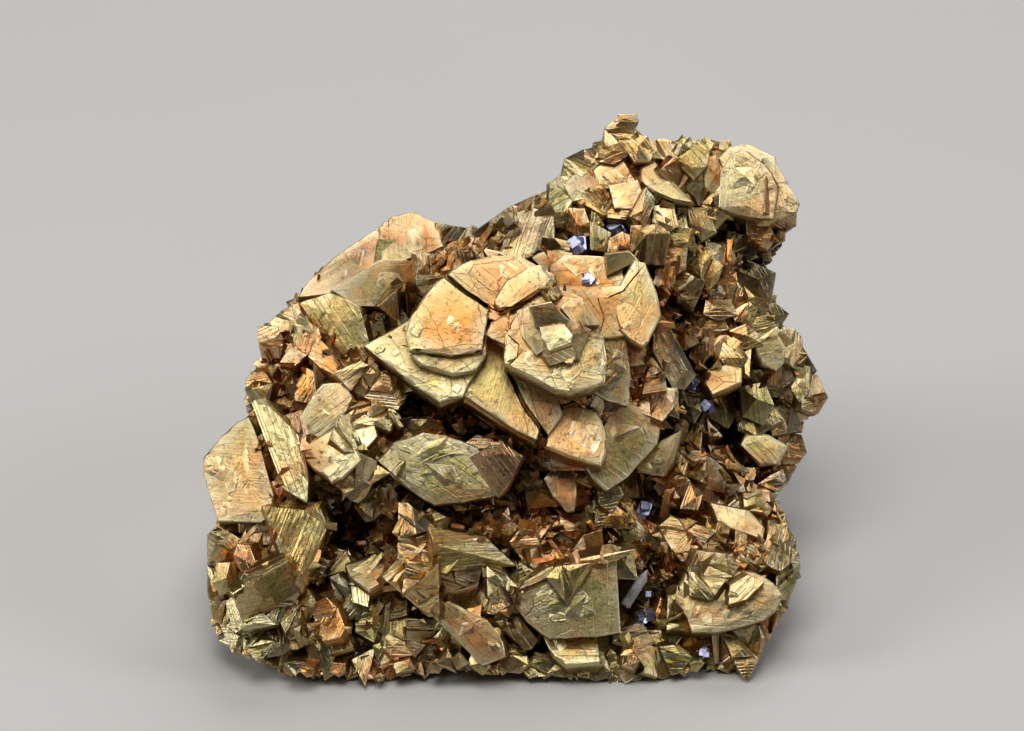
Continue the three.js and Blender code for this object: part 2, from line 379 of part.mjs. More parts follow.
// How far out a crystal's leaning face lies above a place on the specimen's face.
function faceLevel(crystal, across, up) {
  const [a, u] = middle(crystal.corners);
  const fall = (up - u) * Math.tan(radians(crystal.up)) + (across - a) * Math.tan(radians(crystal.side));
  return crystal.out - fall;
}

// One crystal of the face: its corners, a bevelled rim, a point where it has one, and its narrower root,
// which swings towards the middle of the core.
function faceCrystal(crystal) {
  const [a, u] = middle(crystal.corners);
  const rim = crystal.rim ?? 0;
  const swing = [(OUTLINE_CENTRE[0] - a) * ROOT_SWING, (OUTLINE_CENTRE[1] - u) * ROOT_SWING];
  const points = [];
  crystal.corners.forEach(([across, up], index) => {
    const inner = 1 - rim / Math.hypot(across - a, up - u);
    const top = [a + (across - a) * inner, u + (up - u) * inner];
    points.push(place(...top, faceLevel(crystal, ...top)));
    if (rim > 0) {
      points.push(place(across, up, faceLevel(crystal, across, up) - RIM_DROP * rim));
    }
    if (index % 2 === 0) {
      const root = [a + (across - a) * ROOT_NARROWING + swing[0], u + (up - u) * ROOT_NARROWING + swing[1]];
      points.push(place(...root, crystal.out - crystal.deep * ROOT_LENGTH));
    }
  });
  if (crystal.tip) {
    const [across, up, height] = crystal.tip;
    points.push(place(across, up, faceLevel(crystal, across, up) + height));
  }
  return hull(points);
}

// The core's front: it follows the crystal faces at a set distance behind them, and sinks at the hollows.
const FACE_POINTS = CRYSTALS.map((crystal) => [...middle(crystal.corners), crystal.out]);
function coreFront(across, up) {
  let weights = 0;
  let levels = 0;
  for (const [a, u, out] of FACE_POINTS) {
    const weight = 1 / (1 + (across - a) ** 2 + (up - u) ** 2) ** 2;
    weights += weight;
    levels += weight * out;
  }
  let front = levels / weights - CORE_DEPTH_BEHIND * Math.min(1, (up + 1) / FOOT_HEIGHT);
  for (const [a, u, radius, depth] of HOLLOWS) {
    const distance = Math.hypot(across - a, up - u) / radius;
    front -= depth * Math.exp(-distance * distance);
  }
  return front;
}

// A point of the core. Turn goes round the outline, 0 to 1. Pass goes from the middle of the front, 0, over
// the outline, 1, and along the sides to the middle of the back, 2.
function corePoint(turn, pass) {
  const step = turn * OUTLINE.length;
  const from = OUTLINE[Math.floor(step) % OUTLINE.length];
  const to = OUTLINE[(Math.floor(step) + 1) % OUTLINE.length];
  const blend = step - Math.floor(step);
  const [a, u] = OUTLINE_CENTRE;
  const ray = [from[0] + (to[0] - from[0]) * blend - a, from[1] + (to[1] - from[1]) * blend - u];
  const reach = Math.hypot(...ray);
  const inset = CORE_INSET * Math.min(1, (0.6 + u + ray[1]) / FOOT_HEIGHT);
  const rim = (reach - inset) / reach;
  const side = Math.max(0, pass - 1);
  const spread = pass < 1 ? pass : Math.cos((side ** SIDE_FULLNESS * Math.PI) / 2);
  const across = a + ray[0] * rim * spread;
  const up = u + ray[1] * rim * spread;
  const front = coreFront(a + ray[0] * rim * Math.min(pass, 1), u + ray[1] * rim * Math.min(pass, 1));
  const sunk = EDGE_ROUNDING * Math.max(0, Math.min(pass, 1) - EDGE_START) ** 2;
  const back = -(BACK_WALL - up * LEAN_SIN) / LEAN_COS;
  const out = front - sunk + (back - front + sunk) * Math.sin((side * Math.PI) / 2);
  return place(across, up, out);
}

// The core as one closed skin of rings round the outline, rough on its sides and back.
function coreSolid() {
  const random = seeded(3);
  const rings = CORE_PASSES.map((pass) => {
    const ring = [];
    for (let turn = 0; turn < CORE_TURNS; turn += 1) {
      const point = corePoint(turn / CORE_TURNS, pass);
      const roughness = pass > 1 ? CORE_ROUGHNESS : 0;
      ring.push(point.multiplyScalar(1 - random() * roughness));
    }
    return ring;
  });
  const corners = [];
  const middleFront = corePoint(0, 0);
  const middleBack = corePoint(0, 2);
  rings.forEach((ring, row) => {
    const next = rings[row + 1];
    ring.forEach((here, turn) => {
      const after = (turn + 1) % CORE_TURNS;
      const beside = ring[after];
      if (row === 0) {
        corners.push(middleFront, beside, here);
      }
      if (next) {
        corners.push(here, beside, next[turn], beside, next[after], next[turn]);
      } else {
        corners.push(here, beside, middleBack);
      }
    });
  });
  return solid(new THREE.BufferGeometry().setFromPoints(corners));
}

// The corners of a small sphenoid: three shoulders, a short crest over them and a narrower root.
function sphenoid(random, centre, outward, size) {
  const helper = Math.abs(outward.z) < 0.8 ? new THREE.Vector3(0, 0, 1) : new THREE.Vector3(1, 0, 0);
  const right = new THREE.Vector3().crossVectors(helper, outward).normalize();
  const ahead = new THREE.Vector3().crossVectors(outward, right);
  const spin = random() * Math.PI * 2;
  const lean = random() - 0.5;
  const at = (angle, radius, height) => centre.clone()
    .addScaledVector(right, Math.cos(angle + spin) * radius + height * lean)
    .addScaledVector(ahead, Math.sin(angle + spin) * radius)
    .addScaledVector(outward, height);
  const points = [];
  for (let side = 0; side < 3; side += 1) {
    const angle = (side * Math.PI * 2) / 3 + (random() - 0.5) * 0.6;
    const reach = size * (0.8 + random() * 0.4);
    points.push(at(angle, reach, size * (random() * 0.4 - 0.05)));
    points.push(at(angle, reach * 0.5, -size));
  }
  const peak = size * (0.4 + random() * 0.45);
  points.push(at(0, size * 0.5 * random(), peak));
  points.push(at(2.4, size * 0.5 * random(), peak * (0.7 + random() * 0.3)));
  return points;
}

// Whether a point, looked at square to the face, lies inside the specimen's outline.
function insideOutline(point) {
  const fromFoot = point.y + FOOT_TO_ORIGIN;
  const up = fromFoot * LEAN_SIN + point.z * LEAN_COS;
  let inside = false;
  OUTLINE.forEach(([a, u], index) => {
    const [nextA, nextU] = OUTLINE[(index + 1) % OUTLINE.length];
    if (u > up !== nextU > up && point.x < a + ((nextA - a) * (up - u)) / (nextU - u)) {
      inside = !inside;
    }
  });
  return inside;
}

// Crystals over the sides and the back, grown square out of the core and spread evenly. Each has random
// numbers of its own, and is as large as stays inside the outline.
function grownCrystals() {
  const grown = [];
  for (let index = 0; index < GROWN_PLACES; index += 1) {
    const random = seeded(index);
    const turn = (index * GROWN_SPREAD[0]) % 1;
    const pass = GROWN_PASSES[0] + ((index * GROWN_SPREAD[1]) % 1) * (GROWN_PASSES[1] - GROWN_PASSES[0]);
    const here = corePoint(turn, pass);
    const along = corePoint(turn + 0.004, pass).sub(here);
    const over = corePoint(turn, pass + 0.01).sub(here);
    const outward = new THREE.Vector3().crossVectors(over, along).normalize();
    const largest = SMALLEST_GROWN + random() ** 1.4 * (LARGEST_GROWN - SMALLEST_GROWN);
    const thinned = random() > along.length() / EVEN_STEP;
    const shapes = [1, 0.75, 0.5].map((share) => sphenoid(random, here, outward, largest * share));
    const corners = shapes.find((points) => points.every(insideOutline));
    const underneath = outward.z < -0.6 && here.z < 14;
    if (corners && here.z > 0.4 && !underneath && !thinned) {
      grown.push(hull(corners));
    }
  }
  return grown;
}

// Everything under the resting face is cut away.
function floorBlock() {
  const block = new THREE.BoxGeometry(...FLOOR_BLOCK);
  block.translate(0, 0, -FLOOR_BLOCK[2] / 2);
  return solid(block);
}

// A galena crystal: a cube cut at its corners up to the middles of its edges, or a few of them grown together.
function galenaSolid({ at, size, turn, also }, grow) {
  const cubes = [[0, 0, 0, 1], ...also].map(([across, up, out, share], index) => {
    const half = (size * share) / 2 + grow;
    const spin = new THREE.Euler(turn[0] + index, turn[1] + index * 0.7, turn[2]);
    const centre = place(at[0] + across, at[1] + up, at[2] + out);
    const points = CUBE_EDGES.map((edge) => (
      new THREE.Vector3(...edge).multiplyScalar(half).applyEuler(spin).add(centre)
    ));
    return hull(points);
  });
  return cubes.reduce((joined, cube) => joined.add(cube));
}

// The quartz prism: six sides with a point, along a line on the face.
function quartzSolid(grow) {
  const foot = place(...QUARTZ.foot);
  const tip = place(...QUARTZ.tip);
  const along = tip.clone().sub(foot).normalize();
  const right = new THREE.Vector3().crossVectors(along, new THREE.Vector3(0, 1, 0)).normalize();
  const ahead = new THREE.Vector3().crossVectors(along, right);
  const points = [tip.clone().addScaledVector(along, grow)];
  for (let side = 0; side < 6; side += 1) {
    const angle = (side * Math.PI) / 3 + 0.3;
    const radius = QUARTZ.width / 2 + grow;
    const spoke = right.clone().multiplyScalar(Math.cos(angle) * radius);
    spoke.addScaledVector(ahead, Math.sin(angle) * radius);
    points.push(foot.clone().addScaledVector(along, -grow).add(spoke));
    points.push(tip.clone().addScaledVector(along, -QUARTZ.width * 0.9).add(spoke));
  }
  return hull(points);
}

const MATERIALS = {
  chalcopyrite: new THREE.MeshStandardMaterial({ color: 0xa8905a, roughness: 0.38, metalness: 0.9 }),
  galena: new THREE.MeshStandardMaterial({ color: 0x9aa0aa, roughness: 0.2, metalness: 1 }),
  quartz: new THREE.MeshStandardMaterial({ color: 0xe6e0ea, roughness: 0.1, metalness: 0 }),
};

function chalcopyriteSolid() {
  const pieces = [coreSolid(), ...CRYSTALS.map(faceCrystal), ...grownCrystals()];
  let mass = wasm.Manifold.union(pieces);
  for (const crystal of GALENA) {
    mass = mass.subtract(galenaSolid(crystal, SEAT_GAP));
  }
  mass = mass.subtract(quartzSolid(SEAT_GAP)).subtract(floorBlock());
  return largestPart(mass);
}

// The mass without sealed hollows and without chips that the cuts left loose.
function largestPart(mass) {
  return mass.decompose().reduce((best, part) => (part.volume() > best.volume() ? part : best));
}

function namedMesh(name, manifold, material) {
  const mesh = new THREE.Mesh(geometryOf(manifold), material);
  mesh.name = name;
  return mesh;
}

const group = new THREE.Group();
group.add(namedMesh('chalcopyrite', chalcopyriteSolid(), MATERIALS.chalcopyrite));
group.add(namedMesh('quartz_crystal', quartzSolid(0), MATERIALS.quartz));
for (const crystal of GALENA) {
  group.add(namedMesh(`galena_${crystal.name}`, galenaSolid(crystal, 0), MATERIALS.galena));
}

export default group;
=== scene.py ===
"""A chalcopyrite specimen: brassy, striated crystals grown together, with galena crystals and a quartz prism.

Places on the specimen are given in millimetres as across (to the right), up (up the leaning crystal face) and
out (square out of the face). The front foot of the specimen is at up 0, out 0.
"""

import itertools
import math
import random

import bmesh
import bpy
import numpy as np
from mathutils import Euler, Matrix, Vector, noise


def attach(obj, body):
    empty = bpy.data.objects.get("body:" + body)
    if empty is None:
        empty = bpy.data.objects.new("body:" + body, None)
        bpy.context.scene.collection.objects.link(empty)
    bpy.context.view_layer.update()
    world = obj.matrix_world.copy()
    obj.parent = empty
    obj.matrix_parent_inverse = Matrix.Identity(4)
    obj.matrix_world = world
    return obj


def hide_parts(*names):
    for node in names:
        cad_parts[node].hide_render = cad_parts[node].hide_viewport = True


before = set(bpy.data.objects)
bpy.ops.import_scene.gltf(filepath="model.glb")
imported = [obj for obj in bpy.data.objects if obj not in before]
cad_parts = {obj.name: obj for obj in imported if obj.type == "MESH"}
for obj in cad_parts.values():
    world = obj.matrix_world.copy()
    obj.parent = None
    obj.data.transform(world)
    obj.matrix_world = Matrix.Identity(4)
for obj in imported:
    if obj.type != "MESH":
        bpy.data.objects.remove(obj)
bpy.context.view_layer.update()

# Driving sizes, in millimetres and degrees unless they say otherwise. The first groups are the solids' own.
MM = 0.001
FACE_LEAN = 30
FOOT_TO_ORIGIN = 28
BACK_WALL = 55

CORE_DEPTH_BEHIND = 4.2
CORE_INSET = 3.4
FOOT_HEIGHT = 8
FOOT_INSET = 0.6
EDGE_START = 0.8
EDGE_ROUNDING = 110
SIDE_FULLNESS = 1.5

RIM_DROP = 0.7
ROOT_NARROWING = 0.74
ROOT_LENGTH = 1.3
ROOT_SWING = 0.08

GROWN_PLACES = 165
GROWN_SPREAD = (0.7548776662, 0.569840291)
GROWN_PASSES = (1.04, 1.94)  # from and to
GROWN_SIZE = (4.5, 4.5, 1.4)
GROWN_SIZES_TRIED = (1, 0.75, 0.5)
EVEN_STEP = 1.1
WORD = 0xFFFFFFFF
SEED_STEP = 0x6D2B79F5

# The growth lines. Here and below a pair is a random amount, the least and how much more it may be, and a
# third number makes large ones rarer.
LAYER_SPACING = 0.55  # between the layers that show on a crystal's walls
LAYER_GAPS = (0.5, 1)
FIRST_LAYER = 0.35
DEEPEST_LAYER = 2.4
LAYER_SWELL = 0.1
LAYER_SWELLS = (0.2, 1.2)
SWELL_START = 0.2  # above the first layer
SWOLLEN_SIZE = 3.4  # of a crystal whose layers swell fully
LEAST_SWOLLEN = 0.35
MOST_SWOLLEN = 1.3
LEAST_REACH = 0.3  # of a wall from its crystal's axis
GROWN_FIRST_LAYER = 0.15
GROWN_DEEPEST_LAYER = 3.5
GROWN_LAYER_GAPS = (0.35, 0.45)
RAGGED_EDGE = 0.14
RAGGED_GRAIN = 1.7  # bumps a millimetre
RAGGED_TALL = 0.3  # bumps down a wall to one along it
RAGGED_FROM = 0.35  # the share of a crystal's size from its middle to where the bumps start
STEP_WIDTH = 0.1
STEP_GAPS = (0.45, 1.3)
STEP_HEIGHTS = (0.3, 0.9)
STEP_DEPTH = 0.15  # under a face, from where its steps fade out
STEP_FADE = 0.2
STEPPED_FACE = 0.6  # the least part of a facet's direction that looks the crystal's way
ROW_SPACING = (0.35, 0.04, 0.8)  # the least, how much more a millimetre of the crystal's size, and the most
ROW_STEP = (0.008, 0.005, 0.05)
PLATE_ROWS = 1.3
PLATE_STEP = 0.012
FLAT_FACET = 0.16  # the slope under which a facet takes the crystal's own stripes
STEEP_FACET = 0.8  # the slope over which its stripes go round the crystal
GRAIN_MIX = (7.3, 11.9, 5.1)  # sorts the other facets into three kinds
CUT_SLACK = 0.003

# The shapes of the face's crystals.
MOST_CORNERS = 6
SHARP_BEVEL = 0.07
SHARP_DROP = 0.05
LEAST_TOP = 0.2  # the share of a crystal that its bevel leaves flat
FOOT_NARROWING = 0.04
FLAT_SHARE = 0.12  # how many of the crystals without a bevel have a flat face
ONE_PEAK_SHARE = 0.45
PEAK_HEIGHTS = (0.2, 0.55)
PEAK_PLACES = (0.15, 0.65)  # the share of the way from a crystal's middle to a corner
CREST_END = 0.3
PEAK_SLOPE = 0.4
INWARD = 0.85  # how far from a crystal's middle to its corners its domes and flakes may lie
DOME_HEIGHT = 0.16
DOME_SLOPE = 0.14
DOME_FACET = 16  # square millimetres of a plate to a facet
THICKEST = 2.6  # of the walls that stand square on a crystal's face
THICK_SHARE = 0.6  # of a crystal's size
PLATE_THICKER = 1.6
FLAKE_ROOM = 6.0  # square millimetres of a crystal to one thin layer lying on it
FLAKE_THICKNESS = (0.06, 0.14)
FLAKE_REACH = (0.5, 1.7, 1.4)
FLAKE_GAPS = (0.6, 0.8)
FLAKE_STRETCH = 1.5
FLAKE_LEAN = 1.2
SMALLEST_PART = 9.0  # square millimetres
PART_LEAN = 9
PART_STEP = 0.22
PART_TURN = 0.5  # radians
PART_SHIFT = 0.15
WIDENING = 0.5
WIDENING_ROOM = 0.8  # that a widened crystal keeps to the outline
WIDENED_FROM = 1.2  # the reach of the smallest crystal that is widened
FILLER_REACH = (1.2, 2.2, 1.3)
ROOM_USED = 1.1  # how much of the room to the outline a filler takes
FILLER_OVERHANG = 0.3
LEAST_FILLER = 0.8
FILLER_OVER_CORE = 2.7
FILLER_LIFTS = (0.75, 0.5)
FILLER_GAPS = (0.75, 0.5)
FILLER_STRETCH = (0.75, 0.7)
FILLER_LEAN = 13
FILLER_LEANS_UP = 3
LIKE_NEIGHBOUR = 0.7  # how much of a neighbour's lean a filler takes
NEIGHBOUR_TINT_SHARE = 0.55
FILLER_SUNK = 0.15  # under the crystals that are already there
FILLER_MOST_SUNK = 3.5
FILLER_TINTS = ["olive", "bronze", "gold", "gold", "orange", "pale", "dark", "grey", "bronze", "olive"]
CRACK_ROOM = 0.5
CRACK_BRINK = 0.68  # the share of a crack's width from its middle to its brink
CRACK_FLOOR = 0.32
CRACK_WALL = 0.36
CRACK_LEVELS = (-CRACK_BRINK, -CRACK_FLOOR, CRACK_FLOOR, CRACK_BRINK)
SHORTEST = 1e-9

# How crystals' colours change with their place, with painted highlights along edges and painted shade on
# walls and between crystals.
# A pale painted highlight along a plate's edges, and how far in it reaches.
PLATE_RIM_HIGHLIGHT = (0.68, 0.60, 0.36)
PLATE_RIM_HIGHLIGHT_REACH = 0.5  # how far the painted highlight reaches, as a share of the way from a plate's edge to its middle
# The pale painted highlight along the top edges of each face: its width, and the depth under the face from
# where it fades out.
EDGE_HIGHLIGHT_WIDTH = 0.16
EDGE_HIGHLIGHT_DEPTH = 0.1
EDGE_HIGHLIGHT_FADE = 0.2
RIM_CALMS = 5  # how much calmer a plate's growth lines are, a millimetre of its bevel
WALL_START = 0.4  # under a face, from where painted shade darkens its walls
WALL_FADE = 1.2
# Painted shade down a crystal's walls: how much of red, green and blue it takes away.
WALL_PAINTED_SHADE = (0.45, 0.52, 0.6)
# Painted shade deep between the crystals: it takes away most blue, so these also turn redder, like oxide in
# the hollows.
CREVICE_SHADE_AND_OXIDE = (0.72, 0.82, 0.88)
SHADED_FROM = 2.0  # under the faces round a crystal, from where painted shade darkens it
SMALL_SHADED_FROM = 1.5
UNDER_FACE = 6.0  # from there to where the painted shade is darkest
FACE_VARIETY = 0.1
HUE_VARIETY = 0.35  # how much of a colour's variety is in its hue

# Cracks across the face's crystals: width, depth, and places as across and up.
CRACKS = [
    (0.5, 2.6, (-10.4, 59, -9.8, 57.7, -8.2, 56.4, -7, 55.5, -5.6, 54.7, -4.3, 53.7)),
    (0.5, 2.6, (-0.9, 44, 0, 42, 1, 39.8, 2.3, 38, 4.2, 35.2)),
    (0.16, 0.8, (-4.3, 53.7, -2.6, 52.9, -0.8, 53.4, 1.9, 55.2)),
    (0.16, 0.8, (-14.2, 47.4, -11.5, 46.5, -9, 46.4, -6.4, 46.9, -5.2, 47.3)),
    (0.14, 0.7, (-0.9, 49.3, 0.4, 48.2, 0.2, 46.4, -0.9, 45.4)),
    (0.16, 0.9, (17.4, 58.4, 16.2, 57, 15.3, 55.8, 13.4, 55)),
    (0.14, 0.7, (12, 49.9, 12.6, 52, 11.8, 54.4)),
]

# The base colours of the minerals' faces, as linear red, green and blue.
TINTS = {
    "pale": (0.64, 0.54, 0.27),
    "gold": (0.56, 0.43, 0.16),
    "tan": (0.54, 0.39, 0.18),
    "ochre": (0.50, 0.32, 0.10),
    "olive": (0.40, 0.34, 0.13),
    "bronze": (0.38, 0.26, 0.11),
    "grey": (0.40, 0.36, 0.21),
    # dark: painted shade on the faces turned away from the light, and a darker tone at random among fillers
    # and sides
    "dark": (0.19, 0.13, 0.06),
    "orange": (0.62, 0.30, 0.08),
    "salmon": (0.62, 0.31, 0.14),
    "pink": (0.62, 0.36, 0.20),
    "peach": (0.64, 0.39, 0.16),
    "copper": (0.44, 0.18, 0.06),
    "red": (0.38, 0.10, 0.03),
    "lilac": (0.48, 0.37, 0.34),
    "cream": (0.66, 0.50, 0.30),
}

